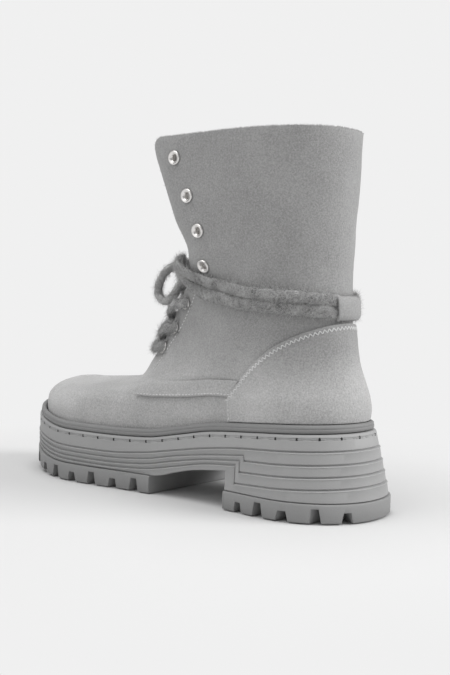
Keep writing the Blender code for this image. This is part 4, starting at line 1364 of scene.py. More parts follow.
    def corner_gaps(self) -> list[Matrix]:
        """Frames of the gaps at the heel's two round back corners, square to its outline."""
        form, drop, frames = self.form, self.wedge_drop, []
        place, width, height = (MM * value for value in HEEL_CORNER)
        wedge = sizes(width / 2, self.wedge_reach, (height + drop) / 2)
        near = [(place + step * MM) / SOLE.length for step in (-2, 0, 2)]
        for ring in form.sides(near, form.tread_bottom, -SOLE.tread_proud):
            along = (ring[2] - ring[0]).normalized()
            out = Vector((along.y, -along.x, 0.0))
            out *= 1 if out.dot(ring[1]) > 0 else -1
            centre = ring[1] + out * self.wedge_reach / 2
            centre.z += (height - drop) / 2
            frames.append(frame_at(centre, UP.cross(out), UP) @ wedge)
        return frames

    def side_gaps(self, notches: Sequence[Notch]) -> list[Matrix]:
        """Frames of the gaps between the lugs and of the shallow channels across the middle."""
        drop, frames = self.wedge_drop, []
        for place, width, height in ((MM * value for value in notch) for notch in notches):
            station = place / SOLE.length
            half = SOLE.forefoot_width * Curve.of(OUTLINE, "half").at(station)
            middle = SOLE.forefoot_width * Curve.of(OUTLINE, "middle").at(station)
            lift = self.form.tread_bottom(place)
            inner = half - min(self.wedge_depth, half - 1 * MM)
            wedge = sizes(width / 2, self.wedge_reach, (height + drop) / 2)
            for side in Side:
                across = middle + side.value * (inner + self.wedge_reach)
                centre = self.form.point(place, across, lift + (height - drop) / 2)
                frames.append(Matrix.Translation(centre) @ wedge)
            if inner < self.least_channel:
                continue
            for step, thick, short, deep in self.channels:
                centre = self.form.point(place + step, middle, lift)
                frames.append(Matrix.Translation(centre) @ sizes(thick, inner - short, deep))
        return frames

    def cut(self, piece: Piece, frames: Sequence[Matrix]) -> None:
        """Cuts wedges that are wider at the floor out of a tread.

        Args:
            piece: The tread.
            frames: Frame of each wedge.
        """
        deselect()
        bpy.ops.mesh.primitive_cube_add(size=2.0)
        template = bpy.context.object
        for corner in template.data.vertices:
            corner.co.x *= self.wedge_foot if corner.co.z < 0 else self.wedge_top
        subtract(piece, copies("lug_gaps", template, frames))

    def slab(self, name: str, node: str, span: tuple[float, float], notches: Sequence[Notch]) -> None:
        """One tread with its lugs.

        Args:
            name: Name of the piece.
            node: CAD node that it stands for.
            span: First and last station, as shares.
            notches: The gaps between its lugs.
        """
        is_heel, bottom, proud = span[0] == 0.0, self.form.tread_bottom, -SOLE.tread_proud

        def top(along: float) -> float:
            """Height of the tread's top."""
            return SOLE.tread_depth - SOLE.gap if is_heel else bottom(along) + SOLE.tread_depth

        shares = stations(*span, self.tread_steps)
        foot = ((0.0, proud + 1.3 * MM), (0.35 * MM, proud + 0.5 * MM), (1.0 * MM, proud))
        head = ((-0.9 * MM, proud), (-0.25 * MM, proud + 0.3 * MM), (0.0, proud + 1.0 * MM))
        rows = self.rings(shares, bottom, foot) + self.rings(shares, top, head)
        piece = self.closed(name, rows, shares, (0.0, 0.5), (0.5, 0.0))
        self.cut(piece, self.side_gaps(notches))
        if is_heel:
            self.cut(piece, self.corner_gaps())
        add_bevel(piece, self.lug_round, 2, self.lug_angle)
        apply_modifiers(piece)
        smooth_out(piece, self.lug_angle)
        self.tread.wear(piece, node)

    def build(self) -> None:
        """Makes every piece of the sole."""
        self.unit()
        self.welt_rim()
        self.stitch_line()
        breast, start = SOLE.heel_breast / SOLE.length, SOLE.forefoot_start / SOLE.length
        self.slab("heel_tread", "outsole_heel", (0.0, breast), HEEL_NOTCHES)
        self.slab("forefoot_tread", "outsole_forefoot", (start, 1.0), FORE_NOTCHES)


def hair_template() -> Piece:
    """One bent, tapered fibre of unit length along Z."""
    deselect()
    bpy.ops.mesh.primitive_cone_add(vertices=3, radius1=1.0, radius2=0.15, depth=1.0, location=(0, 0, 0.5))
    fibre = bpy.context.object
    fibre.data.transform(fibre.matrix_world)
    fibre.matrix_world = Matrix.Identity(4)
    bpy.ops.object.mode_set(mode="EDIT")
    bpy.ops.mesh.select_all(action="SELECT")
    bpy.ops.mesh.bisect(plane_co=(0, 0, 0.5), plane_no=(0, 0, 1))
    bpy.ops.object.mode_set(mode="OBJECT")
    for corner in fibre.data.vertices:
        corner.co.x += 3.2 * corner.co.z**2
    return fibre


def hair_frame(root: Vector, way: Vector, length: float, radius: float, chance: random.Random) -> Matrix:
    """Frame of one fibre.

    Args:
        root: Where it stands.
        way: Which way it grows.
        length: Its length.
        radius: Its radius at the root.
        chance: Source of its turn.

    Returns:
        The frame for the fibre's template.
    """
    turn = way.to_track_quat("Z", "Y").to_matrix().to_4x4()
    spin = Matrix.Rotation(chance.uniform(0, 2 * math.pi), 4, "Z")
    return Matrix.Translation(root) @ turn @ spin @ sizes(radius, radius, length)


def stray(chance: random.Random, reach: float) -> Vector:
    """Random change of a fibre's way, within a reach in each direction."""
    return Vector([chance.uniform(-reach, reach) for _ in range(3)])


@dataclass
class Upper:
    """The suede upper with its lining, panels, bands, keeper, tongue and seams."""

    form: BootForm
    suede: Dress
    fleece: Dress
    thread: Dress
    columns: int = 72
    rows: int = 104
    seam: StitchRow = field(default_factory=StitchRow)
    zigzag: StitchRow = field(default_factory=lambda: StitchRow(1.45 * MM, 2.9 * MM, 0.36 * MM, 0.95))
    fine: tuple[float, ...] = (6.03, 6.07, 6.11, 6.15, 6.2, 6.3)
    seam_drop: float = 2.7 * MM
    hole: float = 2.9 * MM
    lining_rows: int = 84
    lining_columns: int = 54
    lining_wall: float = 1.1 * MM
    lining_gap: float = 0.25 * MM
    lining_trim: float = 1.5 * MM
    lining_foot: float = 0.9
    lining_short: float = 0.97
    lump_depth: float = 0.9 * MM
    lump_scale: float = 380.0
    pile_count: int = 9000
    pile_radius: float = 0.17 * MM
    pile_length: tuple[float, float] = (1.8, 3.8)
    pile_down: tuple[float, float] = (2.6, 1.6)
    pile_edge: float = 0.03
    nap_count: int = 7000
    nap_radius: float = 0.12 * MM
    nap_length: tuple[float, float] = (0.7, 1.6)
    nap_on_collar: float = 0.62
    nap_foot: float = 7.0
    counter_steps: tuple[int, int] = (34, 24)
    band_steps: tuple[int, int] = (34, 6)
    tongue_steps: tuple[int, int] = (26, 60)
    tongue_levels: tuple[float, float] = (5.45, 6.49)
    keeper_steps: tuple[int, int] = (16, 28)
    keeper_round: float = 3.4
    stitches: list[Matrix] = field(default_factory=list)

    def corner_level(self, angle: float, edge: float) -> float:
        """Highest level of a column, lower within the round corner of the flap."""
        form = self.form
        distance = (form.place(TOP_LEVEL, edge) - form.place(TOP_LEVEL, angle)).length
        short = max(0.0, UPPER.flap_corner - distance)
        drop = UPPER.flap_corner - math.sqrt(max(0.0, UPPER.flap_corner**2 - short**2))
        storey = (form.place(TOP_LEVEL, edge) - form.place(TOP_LEVEL - 1, edge)).length
        return TOP_LEVEL - drop / storey

    def wall_rows(
        self, levels: Sequence[float], columns: int, offset: float, trim: float
    ) -> list[list[Vector]]:
        """Rows of the upper's surface from the medial front edge round the back to the lateral one.

        Args:
            levels: The rows' levels.
            columns: Number of steps on each side.
            offset: Distance out of the outer surface.
            trim: How far the rows stop short of the throat's edges.

        Returns:
            The rows.
        """
        form = self.form
        top_edge = form.edge_angle(TOP_LEVEL)
        tops = [self.corner_level(j / columns * top_edge, top_edge) for j in range(columns + 1)]
        start = TOP_LEVEL - 1.0
        rows = []
        for level in levels:
            row = []
            for j in range(-columns, columns + 1):
                bent = level if level <= start else start + (level - start) * (tops[abs(j)] - start)
                edge = form.edge_angle(bent)
                if trim and edge < math.pi:
                    edge = form.edge_angle(bent, trim)
                row.append(form.skin(bent, j / columns * edge, offset))
            rows.append(row)
        return rows

    def shell(self) -> None:
        """The whole upper as one suede wall, with a drilled hole for each eyelet."""
        even = [TOP_LEVEL * i / self.rows for i in range(self.rows + 1)]
        levels = sorted([k for k in even if all(abs(k - f) > 0.02 for f in self.fine)] + list(self.fine))
        piece = weld(drape("suede_upper", self.wall_rows(levels, self.columns, 0.0, 0.0)), closed=False)
        thicken(piece, UPPER.wall, 0.7 * MM)
        deselect()
        bpy.ops.mesh.primitive_cylinder_add(vertices=24, radius=self.hole, depth=6 * UPPER.wall)
        subtract(piece, copies("eyelet_drills", bpy.context.object, list(self.form.seats.values())))
        smooth_out(piece, PANEL_ANGLE)
        self.suede.wear(piece, "upper")

    def lining(self) -> None:
        """Short lumpy fleece inside the wall, from over the footbed to just under the collar."""
        count, span = self.lining_rows, TOP_LEVEL - self.lining_short
        levels = [self.lining_foot + span * i / count for i in range(count + 1)]
        rows = self.wall_rows(levels, self.lining_columns, -(UPPER.wall + self.lining_gap), self.lining_trim)
        piece = weld(drape("fleece_lining", rows), closed=False)
        thicken(piece, self.lining_wall, 0.0)
        normals = [v.normal.copy() for v in piece.data.vertices]
        for corner, out in zip(piece.data.vertices, normals):
            corner.co += out * self.lump_depth * noise.noise(corner.co * self.lump_scale)
        smooth_out(piece, WHOLLY_SMOOTH)
        self.fleece.wear(piece)

    def collar_pile(self) -> None:
        """Fibres of the fleece that show over the inner edge of the collar and down the shaft."""
        chance = random.Random(11)
        deepest, falling = self.pile_down
        form, frames = self.form, []
        top_edge = form.edge_angle(TOP_LEVEL)
        for _ in range(self.pile_count):
            angle = chance.uniform(-1, 1) * (top_edge - self.pile_edge)
            down = deepest * chance.random() ** falling + self.pile_edge
            level = min(TOP_LEVEL, self.corner_level(abs(angle), top_edge)) - down
            if abs(angle) > form.edge_angle(level) - self.pile_edge:
                continue
            root = form.skin(level, angle, -(UPPER.wall + 1.2 * MM))
            way = stray(chance, 0.8) - form.normal(level, angle)
            length = chance.uniform(*self.pile_length) * MM
            frames.append(hair_frame(root, way, length, self.pile_radius, chance))
        self.fleece.wear(copies("collar_fleece_pile", hair_template(), frames))

    def edge_nap(self) -> None:
        """Short suede fibres along the cut edge of the collar and down both flaps."""
        chance = random.Random(23)
        form, frames = self.form, []
        top_edge = form.edge_angle(TOP_LEVEL)
        for _ in range(self.nap_count):
            side = chance.choice((-1, 1))
            if chance.random() < self.nap_on_collar:
                angle = chance.uniform(0, top_edge - 0.02)
                level = self.corner_level(angle, top_edge)
                grow = UP
            else:
                level = chance.uniform(self.nap_foot, self.corner_level(top_edge, top_edge))
                angle = form.edge_angle(level)
                behind = form.place(level, side * (angle - 0.03))
                grow = (form.place(level, side * angle) - behind).normalized()
            out = form.normal(level, side * angle)
            root = form.skin(level, side * angle, -chance.uniform(0.1, 1.0) * UPPER.wall) - grow * 0.4 * MM
            way = grow + out * chance.uniform(-0.7, 0.7)
            way += stray(chance, 0.6)
            length = chance.uniform(*self.nap_length) * MM
            frames.append(hair_frame(root, way, length, self.nap_radius, chance))
        self.suede.wear(copies("suede_edge_nap", hair_template(), frames))

    def seam_rail(self, rows: Rows, drop: float) -> list[Rail]:
        """Line at a distance under a panel's top edge, on its surface.

        Args:
            rows: The panel's rows, the last being its edge.
            drop: Distance under the edge.

        Returns:
            The line as a rail.
        """
        rail, top = [], rows[-1]
        for j, edge in enumerate(top):
            beside = top[min(j + 1, len(top) - 1)] - top[max(0, j - 1)]
            down = (rows[-2][j] - edge).normalized()
            out = down.cross(beside).normalized()
            if out.dot(self.form.normal_near(edge)) < 0:
                out = -out
            rail.append(Rail(edge + down * drop, out))
        return rail

    def counter(self) -> None:
        """Panel over the heel up to its curved edge, with a zigzag seam along it and plain ones in front."""
        form = self.form
        offset = UPPER.overlay_gap + UPPER.overlay
        count, steps = self.counter_steps
        grid = [form.angle_at(0.1 * k, UPPER.counter_length) for k in range(101)]

        def front(level: float) -> float:
            """Angle of the panel's front edge at a level."""
            low = min(99, int(level * 10))
            return grid[low] + (grid[low + 1] - grid[low]) * (level * 10 - low)

        def above_edge(level: float, share: float) -> float:
            """How far a point lies above the panel's top edge."""
            place = form.place(level, share * front(level))
            along = SOLE.length / 2 - place.x
            edge = UPPER.shaft_height * Curve.of(COUNTER_SEAM, "rise").at(along / UPPER.counter_length)
            return place.z - form.sole_top(along) - edge

        rows: list[list[Vector]] = [[] for _ in range(steps + 1)]
        foot = UPPER.welt_height + 0.6 * MM
        for j in range(-count, count + 1):
            share, side = abs(j) / count, -1 if j < 0 else 1
            low = search(0.0, 4.0, lambda k: form.rise(k, share * front(k)), foot)
            high = search(low, 9.8, lambda k: above_edge(k, share), 0.0)
            for step in range(steps + 1):
                level = low + (high - low) * step / steps
                rows[step].append(form.skin(level, side * share * front(level), offset))
        self.suede.wear(panel("heel_counter_panel", rows, UPPER.overlay, 0.45 * MM), "heel_counter")
        self.stitches += self.zigzag.frames(self.seam_rail(rows, self.seam_drop))
        for column, step in ((0, 1), (-1, -1)):
            upward = (rows[-1][column] - rows[0][column]).normalized()
            rail = []
            for row in rows[1:-2]:
                inward = (row[column + step] - row[column]).normalized()
                out = inward.cross(upward) * -step
                rail.append(Rail(row[column] + inward * 1.8 * MM, out.normalized()))
            self.stitches += self.seam.frames(rail)

    def bands(self) -> None:
        """Strip along each quarter's lower edge, with a seam along its foot."""
        form = self.form
        offset = 1.3 * UPPER.overlay_gap + UPPER.overlay
        start = UPPER.counter_length + UPPER.overlay
        count, steps = self.band_steps
        for side in Side:
            rows = []
            for step in range(steps + 1):
                row = []
                end = UPPER.band_end - 9 * MM * step / steps
                begin = start - 2 * MM - 6 * MM * step / steps
                for j in range(count + 1):
                    along = begin + (end - begin) * j / count
                    tucked = offset - 0.9 * MM * (1 - ease(j / 5))
                    low, high = (Curve.of(BAND, edge).at(along / SOLE.length) for edge in ("bottom", "top"))
                    level = form.level_at(along, UPPER.shaft_height * (low + (high - low) * step / steps))
                    row.append(form.skin(level, side.value * form.angle_at(level, along), tucked))
                rows.append(row if side is Side.LATERAL else row[::-1])
            piece = panel(f"quarter_band_{side.label}", rows, UPPER.overlay, 0.4 * MM)
            self.suede.wear(piece, f"side_band_{side.label}")
            self.stitches += self.seam.frames(self.seam_rail(rows[:2][::-1], 1.4 * MM))

    def throat_seams(self) -> None:
        """Row of stitches behind the laced eyelets on each side."""
        insets = Curve([e.level for e in EYELETS], [e.inset for e in EYELETS])
        for side in Side:
            rail = []
            for level in (6.5 + 2.9 * i / 30 for i in range(31)):
                angle = side.value * self.form.inset_angle(level, insets.at(level) + 7.5 * MM)
                rail.append(Rail(self.form.skin(level, angle, 0.1 * MM), self.form.normal(level, angle)))
            self.stitches += self.seam.frames(rail)

    def tongue(self) -> None:
        """Padded tongue behind the throat, tucked under both flaps and the vamp."""
        form = self.form
        offset = -(UPPER.wall + 1.8 * MM)
        rows, (count, steps), (foot, reach) = [], self.tongue_steps, self.tongue_levels
        for level in (foot + reach * i / steps for i in range(steps + 1)):
            width = max(UPPER.shaft_width * Curve.of(THROAT, "gap").at(level), 0.13 * UPPER.shaft_width)
            width += UPPER.tongue_overlap - 3 * MM * ease((level - 11.2) / 0.74)
            side = search(math.pi / 2, math.pi, lambda a: form.place(level, a).y, -width)
            places = [side + 2 * (math.pi - side) * j / count for j in range(count + 1)]
            rows.append([form.skin(level, angle, offset) for angle in places])
        piece = panel("padded_tongue", rows, UPPER.tongue_thickness, 1.1 * MM, 3)
        self.suede.wear(piece, "tongue")

    def keeper(self) -> None:
        """Loop at the back, lying on the upper above and below the strands that run through it."""
        form = self.form
        bulge = LACE.depth + UPPER.overlay_gap
        margin = LACE.width / 2 + 1.1 * MM
        low = UPPER.shaft_height * WRAP[0].lower - margin
        high = UPPER.shaft_height * WRAP[0].upper + margin
        rows, (count, steps) = [], self.keeper_steps
        for i in range(steps + 1):
            rise = low + (high - low) * i / steps
            share = abs(2 * i / steps - 1)
            lift = bulge * math.sqrt(max(0.0, 1 - share**self.keeper_round))
            middle = form.level_on_angle(0.0, rise)
            row = []
            for j in range(-count, count + 1):
                angle = form.turn_at(middle, UPPER.keeper_half * abs(j) / count)
                level = form.level_on_angle(angle, rise)
                turn = angle if j >= 0 else -angle
                row.append(form.skin(level, turn, UPPER.overlay_gap + UPPER.overlay + lift))
            rows.append(row)
        self.suede.wear(panel("lace_keeper", rows, UPPER.overlay, 0.45 * MM), "back_keeper")

    def build(self) -> None:
        """Makes every piece of the upper and the threads of its seams, and gives the insole its fleece."""
        self.shell()
        self.lining()
        self.collar_pile()
        self.edge_nap()
        self.counter()
        self.bands()
        self.throat_seams()
        self.tongue()
        self.keeper()
        for slot in bpy.data.objects["insole"].material_slots:
            slot.material = self.fleece.material
        self.thread.wear(stitches("upper_seams", self.stitches))


@dataclass
class Eyelets:
    """The nickel eyelets, one turned ring in each hole."""

    form: BootForm
    nickel: Dress
    radius: float = 4.45 * MM
    bore: float = 1.75 * MM
    barrel: float = 2.55 * MM
    flange: float = 0.85 * MM
    seat: float = 0.48 * MM
    segments: int = 40

    def profile(self) -> list[tuple[float, float]]:
        """Half section of the eyelet: radius and height, round its rolled flange and down its barrel."""
        roll = []
        for i in range(7):
            turn = math.pi * i / 6 * 0.75
            reach = self.radius - 0.7 * MM * (1 - math.cos(turn))
            roll.append((reach, self.seat + self.flange * math.sin(turn)))
        foot, height = roll[-1]
        for share in (i / 5 for i in range(1, 6)):
            roll.append((foot + (self.bore - foot) * share, height - 1.5 * MM * share**2.2))
        deep = -UPPER.wall - 0.3 * MM
        return roll + [(self.bore, deep), (self.barrel, deep), (self.barrel, self.seat), roll[0]]

    def build(self) -> None:
        """Turns one ring for each CAD eyelet."""
        turns = [2 * math.pi * i / self.segments for i in range(self.segments + 1)]
        for name, seat in self.form.seats.items():
            rows = []
            for radius, height in self.profile():
                ring = [Vector((radius * math.cos(t), radius * math.sin(t), height)) for t in turns]
                rows.append([seat @ corner for corner in ring])
            piece = weld(drape(f"eyelet_ring_{name}", rows))
            smooth_out(piece, 45)
            self.nickel.wear(piece, f"eyelet_{name}")


@dataclass
class Lace:
    """The flat wool lace: crossings, the strands round the ankle and the bow."""

    form: BootForm
    wool: Dress
    bow_wool: Dress
    fuzz: Dress
    sides: int = 14
    spacing: float = 1.3 * MM
    hairs_per_metre: float = 22000.0
    hair_length: tuple[float, float] = (1.8 * MM, 5.2 * MM)
    hair_radius: float = 0.095 * MM
    knot_hairs: int = 700
    swell: float = 0.24
    swell_scale: float = 230.0
    lump: float = 0.14
    lump_scale: float = 900.0
    taper: float = 7 * MM
    cap: float = 1.4 * MM
    past_eyelet: float = 4.4 * MM
    sunk: float = 0.6 * MM
    crossing_steps: int = 40
    wrap_steps: int = 60
    knot_steps: tuple[int, int] = (44, 16)
    chance: random.Random = field(default_factory=lambda: random.Random(5))
    fibres: list[Matrix] = field(default_factory=list)

    def strand(
        self, name: str, rail: Sequence[Rail], width: float, depth: float, pinch: float = 0.0
    ) -> Piece:
        """One flat strand, lumpy like wool, with rounded ends.

        Args:
            name: Name of the piece.
            rail: Its centres and outward directions.
            width: Width of the lace.
            depth: Thickness of the lace.
            pinch: Share of the width that it loses at its ends, inside an eyelet.

        Returns:
            The piece.
        """
        stops = walk(rail, self.spacing)
        rows = [[rail[0].centre] * (self.sides + 1)]
        for index, (centre, along, out) in enumerate(stops):
            across = out.cross(along).normalized()
            out = along.cross(across).normalized()
            near = min(index, len(stops) - 1 - index) * self.spacing
            narrow = 1 - pinch * (1 - ease(near / self.taper))
            cap = math.sqrt(min(1.0, (near + self.cap / 4) / self.cap))
            row = []
            for i in range(self.sides + 1):
                turn = 2 * math.pi * (i % self.sides) / self.sides
                swell = noise.noise(centre * self.swell_scale + Vector((math.sin(turn), math.cos(turn), 0)))
                fine = noise.noise(centre * self.lump_scale + 2 * Vector((turn, 0, 0)))
                lump = 1 + self.swell * swell + self.lump * fine
                side = across * (width / 2 * narrow * cap * lump * math.sin(turn))
                face = out * (depth / 2 * cap * lump * math.cos(turn) * (1 + 0.35 * (1 - narrow)))
                row.append(centre + side + face)
            rows.append(row)
            self.grow(centre, along, (across, out), (width * narrow, depth))
        rows.append([rail[-1].centre] * (self.sides + 1))
        piece = weld(drape(name, rows))
        smooth_out(piece, WHOLLY_SMOOTH)
        return piece

    def grow(
        self, centre: Vector, along: Vector, ways: tuple[Vector, Vector], spans: tuple[float, float]
    ) -> None:
        """Plants fibres round one stop of a strand.

        Args:
            centre: The stop.
            along: The way along the strand.
            ways: The ways across the strand and out of it.
            spans: The strand's width and depth.
        """
        (across, out), (width, depth) = ways, spans
        for _ in range(round(self.hairs_per_metre * self.spacing)):
            turn = self.chance.uniform(0, 2 * math.pi)
            shift = along * self.chance.uniform(-0.5, 0.5) * self.spacing
            arm = across * (0.46 * width * math.sin(turn)) + out * (0.44 * depth * math.cos(turn))
            way = across * (math.sin(turn) * depth) + out * (math.cos(turn) * width)
            way = way.normalized() * self.chance.uniform(0.05, 0.6)
            way += along * self.chance.uniform(-1.0, 1.0) + across * self.chance.uniform(-0.9, 0.9)
            length = self.chance.uniform(*self.hair_length)
            self.fibres.append(hair_frame(centre + shift + arm, way, length, self.hair_radius, self.chance))

    def on_surface(self, spots: Sequence[tuple[float, float, float]]) -> list[Rail]:
        """Rail over the upper, through levels, angles and heights above its surface."""
        return [Rail(self.form.skin(k, a, lift), self.form.normal(k, a)) for k, a, lift in spots]

    def crossing(self, name: str, low: int, high: int, lift: float) -> None:
        """Strand out of a lateral eyelet, over the throat and into a medial one.

        Args:
            name: Name of the piece.
            low: Index of the lateral eyelet.
            high: Index of the medial eyelet.
            lift: Height of its middle above the surface.
        """
        first, second = EYELETS[low], EYELETS[high]
        start = self.form.inset_angle(first.level, first.inset + self.past_eyelet)
        end = 2 * math.pi - self.form.inset_angle(second.level, second.inset + self.past_eyelet)
        spots, steps = [], self.crossing_steps
        for share in (i / steps for i in range(steps + 1)):
            sunk = self.sunk + (lift - self.sunk) * ease(min(share, 1 - share) * steps / 6)
            level = first.level + (second.level - first.level) * ease(1.1 * share - 0.05)
            spots.append((level, start + (end - start) * share, sunk))
        piece = self.strand(name, self.on_surface(spots), LACE.shown_width, LACE.shown_depth, -0.16)
        self.wool.wear(piece, "lace_crossings")

    def crossings(self) -> None:
        """Bottom bar and the crosses up to the highest laced pair of eyelets."""
        lift = LACE.flange + 1.0 * MM + LACE.depth / 2
        self.crossing("lace_bar", 0, 0, lift)
        for low in range(LACE.laced - 1):
            self.crossing(f"lace_cross_{2 * low + 1}", low, low + 1, lift + 0.3 * MM)
            self.crossing(f"lace_cross_{2 * low + 2}", low + 1, low, lift + 1.6 * MM)

    def wrap(self) -> None:
        """Both strands round the ankle, from the knot round the back and to the knot again."""
        last, steps = WRAP[-1].turn, self.wrap_steps
        for column in ("upper", "lower"):
            spots = []
            for turn in (last * i / steps for i in range(-steps, steps + 1)):
                rise = UPPER.shaft_height * Curve.of(WRAP, column).at(abs(turn))
                lift = LACE.depth / 2 + UPPER.overlay_gap
                lift += LACE.width * Curve.of(WRAP, "lift").at(abs(turn))
                angle = turn * math.pi
                spots.append((self.form.level_on_angle(angle, rise), angle, lift))
            name, width = f"lace_round_ankle_{column}", 1.06 * LACE.shown_width
            piece = self.strand(name, self.on_surface(spots), width, 0.9 * LACE.shown_depth)
            self.wool.wear(piece, "lace_wrap")

    def spot(self, spot: Spot) -> Vector:
        """Place of a route's own point."""
        return self.form.point(spot.along * MM, spot.across * MM, spot.height * MM)

    def route(self, spots: Sequence[Spot]) -> list[Vector]:
        """Close places on a smooth curve through a route's own points."""
        knots = [self.spot(spot) for spot in spots]
        knots = [2 * knots[0] - knots[1], *knots, 2 * knots[-1] - knots[-2]]
        places = []
        for before, start, end, after in zip(knots, knots[1:], knots[2:], knots[3:]):
            for t in (step / 8 for step in range(8)):
                bend = (2 * before - 5 * start + 4 * end - after) * t**2
                twist = (3 * start - before - 3 * end + after) * t**3
                places.append(0.5 * (2 * start + (end - before) * t + bend + twist))
        return places + [knots[-2]]

    def cord(self, name: str, node: str, spots: Sequence[Spot], far_end: str) -> None:
        """One loop or end of the bow, made as a strand.

        Args:
            name: Name of the piece.
            node: CAD node that it stands for.
            spots: The route's own points.
            far_end: What the cord ends in.
        """
        places = self.route(spots)
        centre = sum(places, Vector()) / len(places)
        closed = far_end == "knot"
        rail = []
        for index, place in enumerate(places):
            after = places[min(index + 1, len(places) - 1)]
            along = (after - places[max(0, index - 1)]).normalized()
            out = (place - centre) if closed else Vector((-1.0, -0.3, 0.25))
            out = (out - along * out.dot(along)).normalized()
            rail.append(Rail(place, out))
        piece = self.strand(name, rail, 0.92 * LACE.shown_width, 1.55 * LACE.shown_depth)
        # Lighter copy of the lace's wool: painted light on the bow.
        self.bow_wool.wear(piece, node)

    def knot(self) -> Piece:
        """The knot: the lace wound once round the crossing strands."""
        centre = self.spot(KNOT)
        rings, sides = self.knot_steps
        rows = []
        for turn in (2 * math.pi * (i % rings) / rings for i in range(rings + 1)):
            round_x, round_z = math.cos(turn), math.sin(turn)
            row = []
            for roll in (2 * math.pi * (j % sides) / sides for j in range(sides + 1)):
                out, across = math.cos(roll), math.sin(roll)
                lump = 1 + 0.12 * noise.noise(Vector((3 * round_x, 3 * round_z, 2 * across)))
                reach = 2.6 * MM + 1.55 * MM * out * lump
                x = (KNOT_SIZE.along / KNOT_SIZE.height) * reach * round_x * 1.25
                y = 3.6 * MM * across * lump + 1.1 * MM * round_z
                row.append(centre + Vector((x, y, reach * round_z * 1.3)))
            rows.append(row)
        band = weld(drape("lace_knot_band", rows))
        smooth_out(band, WHOLLY_SMOOTH)
        deselect()
        bpy.ops.mesh.primitive_uv_sphere_add(segments=28, ring_count=18, radius=MM)
        core = bpy.context.object
        core.name = core.data.name = "lace_knot_core"
        place = Matrix.Translation(centre) @ sizes(KNOT_SIZE.along, KNOT_SIZE.across, KNOT_SIZE.height)
        for corner in core.data.vertices:
            spot = corner.co / MM
            waist = 0.72 + 0.28 * abs(spot.y)
            lump = 1 + 0.14 * noise.noise(spot * 2.3)
            corner.co = place @ (Vector((spot.x * waist, spot.y, spot.z * waist)) * lump * MM)
        core.data.shade_smooth()
        self.wool.wear(band)
        self.wool.wear(core, "lace_knot")
        chance = self.chance
        for _ in range(self.knot_hairs):
            way = Vector([chance.gauss(0, 1) for _ in range(3)]).normalized()
            arm = Vector((way.x * 3.4, way.y * 5.8, way.z * 3.9)) * MM
            way += stray(chance, 1)
            length = chance.uniform(1.2, 3) * MM
            self.fibres.append(hair_frame(centre + arm, way, length, self.hair_radius, chance))
        return core

    def build(self) -> None:
        """Makes the bow first, then the lacing and the fuzz on all of it."""
        knot = self.knot()
        self.cord("bow_loop_lateral", "lace_loop_lateral", LOOP_LATERAL, "knot")
        self.cord("bow_loop_medial", "lace_loop_medial", LOOP_MEDIAL, "knot")
        self.cord("bow_end_front", "lace_end_front", END_FRONT, "bare")
        self.cord("bow_end_back", "lace_end_back", END_BACK, "bare")
        self.crossings()
        self.wrap()
        share = len(self.fibres) // 3 + 1
        for number in range(3):
            part = self.fibres[number * share : (number + 1) * share]
            self.fuzz.wear(copies(f"lace_fuzz_{number + 1}", hair_template(), part))


@dataclass(frozen=True)
class Light:
    """A soft square lamp, aimed at the boot."""

    name: str
    place: tuple[float, float, float]
    size: float
    power: float

    def build(self, target: Vector) -> None:
        """Hangs the lamp and turns it to its target."""
        data = bpy.data.lights.new(self.name, "AREA")
        data.shape, data.size, data.energy = "SQUARE", self.size, self.power
        lamp = bpy.data.objects.new(self.name, data)
        bpy.context.scene.collection.objects.link(lamp)
        lamp.location = self.place
        lamp.rotation_euler = (target - Vector(self.place)).to_track_quat("-Z", "Y").to_euler()


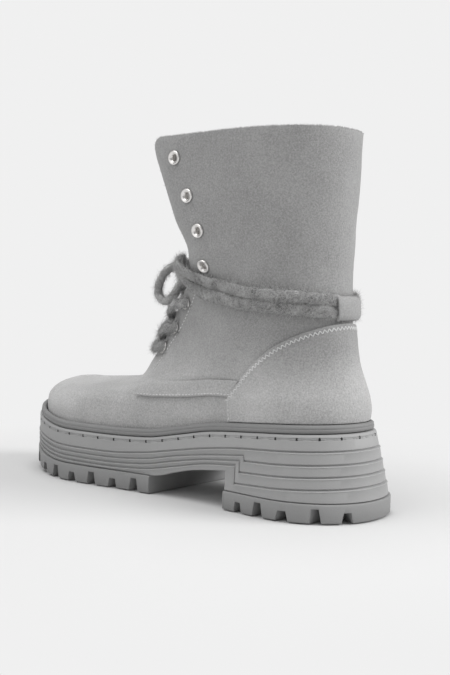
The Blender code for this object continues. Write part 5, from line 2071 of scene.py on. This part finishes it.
@dataclass
class Studio:
    """Camera, pale floor and soft light."""

    place: Vector = field(default_factory=lambda: Vector((0.4469, -0.4946, 0.1285)))
    photo_way: Vector = field(default_factory=lambda: Vector((-0.518, 0.855, 0.0)))
    target: Vector = field(default_factory=lambda: Vector((0.0, 0.0, 0.10)))
    turn_left: float = 9.2
    pitch_down: float = 2.6
    roll: float = 1.28
    focal_pixels: float = 1010.0
    frame_pixels: float = 675.0
    sensor: float = 36.0
    backdrop: float = 0.872
    ambient: float = 0.33
    albedo: float = 0.640
    floor_size: float = 14.0
    floor_height: float = -0.0004
    floor_near: float = 0.16
    floor_far: float = 0.34
    lights: tuple[Light, ...] = (
        Light("key", (1.35, 0.75, 0.95), 1.0, 24.0),
        Light("top", (-0.15, -0.25, 1.70), 1.6, 23.5),
        Light("fill", (-0.50, -1.60, 0.80), 1.4, 6.5),
    )

    def camera(self) -> None:
        """Camera where the photographer stood, turned to take in the whole boot."""
        data = bpy.data.cameras.new("view")
        data.sensor_width = self.sensor
        data.lens = self.focal_pixels / self.frame_pixels * self.sensor
        data.clip_start = 0.01
        view = bpy.data.objects.new("view", data)
        bpy.context.scene.collection.objects.link(view)
        level = (Matrix.Rotation(math.radians(self.turn_left), 3, "Z") @ self.photo_way).normalized()
        drop, tilt = math.radians(self.pitch_down), math.radians(self.roll)
        way = level * math.cos(drop) - UP * math.sin(drop)
        right = way.cross(UP).normalized()
        up = right.cross(way)
        rolled_right = right * math.cos(tilt) + up * math.sin(tilt)
        rolled_up = up * math.cos(tilt) - right * math.sin(tilt)
        turn = Matrix((rolled_right, rolled_up, -way)).transposed().to_4x4()
        view.matrix_world = Matrix.Translation(self.place) @ turn
        bpy.context.scene.camera = view

    @staticmethod
    def grey(value: float) -> tuple[float, float, float, float]:
        """Grey of a value."""
        return (value, value, value, 1.0)

    def world(self) -> None:
        """Even surroundings, brighter where the camera sees them than as light."""
        world = bpy.data.worlds.new("studio")
        world.use_nodes = True
        graph, nodes = Graph(world.node_tree), world.node_tree.nodes
        seen = graph.fill(nodes["Background"], {"Color": self.grey(self.backdrop)})
        lit = graph.add("ShaderNodeBackground", Color=self.grey(self.ambient))
        path, blend = graph.add("ShaderNodeLightPath"), graph.add("ShaderNodeMixShader")
        graph.link(
            (path, "Is Camera Ray", blend, "Fac"), (lit, "Background", blend, 1),
            (seen, "Background", blend, 2), (blend, "Shader", nodes["World Output"], "Surface"),
        )
        bpy.context.scene.world = world
        bpy.context.scene.view_settings.view_transform = "Standard"

    def floor_material(self) -> bpy.types.Material:
        """Matt floor near the boot that turns into the even backdrop further out."""
        made = bpy.data.materials.new("Studio floor")
        made.use_nodes = True
        graph, nodes = Graph(made.node_tree), made.node_tree.nodes
        matt = nodes["Principled BSDF"]
        graph.fill(matt, {"Base Color": self.grey(self.albedo), "Roughness": 1.0, "Specular IOR Level": 0.0})
        even = graph.add("ShaderNodeEmission", Color=self.grey(self.backdrop))
        place, far = graph.add("ShaderNodeTexCoord"), graph.add("ShaderNodeVectorMath")
        far.operation = "LENGTH"
        share, blend = graph.fade(self.floor_near, self.floor_far), graph.add("ShaderNodeMixShader")
        graph.link(
            (place, "Object", far, 0), (far, "Value", share, "Value"), (share, "Result", blend, "Fac"),
            (matt, "BSDF", blend, 1), (even, "Emission", blend, 2),
            (blend, "Shader", nodes["Material Output"], "Surface"),
        )
        return made

    def floor(self) -> None:
        """Wide pale floor under the boot."""
        deselect()
        bpy.ops.mesh.primitive_plane_add(size=self.floor_size, location=(0, 0, self.floor_height))
        floor = bpy.context.object
        floor.name = "studio_floor"
        floor.data.materials.append(self.floor_material())

    def build(self) -> None:
        """Sets up the camera, the surroundings, the floor and the lamps."""
        self.camera()
        self.world()
        self.floor()
        for light in self.lights:
            light.build(self.target)


def main() -> None:
    """Builds the studio and every sub-assembly of the boot."""
    effects = Effects()
    Studio().build()
    form = BootForm()
    wool, bow_wool, fuzz = (Dress(f.build(effects), "wool") for f in (WOOL, LIT_BOW_WOOL, FUZZ))
    Lace(form, wool, bow_wool, fuzz).build()
    rubber, tread = Dress(RUBBER.build(effects), "rubber"), Dress(TREAD.build(effects), "rubber")
    welt, pit = Dress(WELT_RUBBER.build(effects), "rubber"), Dress(PIT_SHADE.build(effects), "rubber")
    Sole(form, rubber, tread, welt, pit).build()
    suede, fleece = Dress(SUEDE.build(effects), "suede"), Dress(FLEECE.build(effects), "lining")
    Upper(form, suede, fleece, Dress(THREAD.build(effects), "suede")).build()
    Eyelets(form, Dress(NICKEL.build(effects), "steel")).build()


if __name__ == "__main__":
    logging.basicConfig(level=logging.INFO, format="%(name)s: %(message)s")
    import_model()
    main()
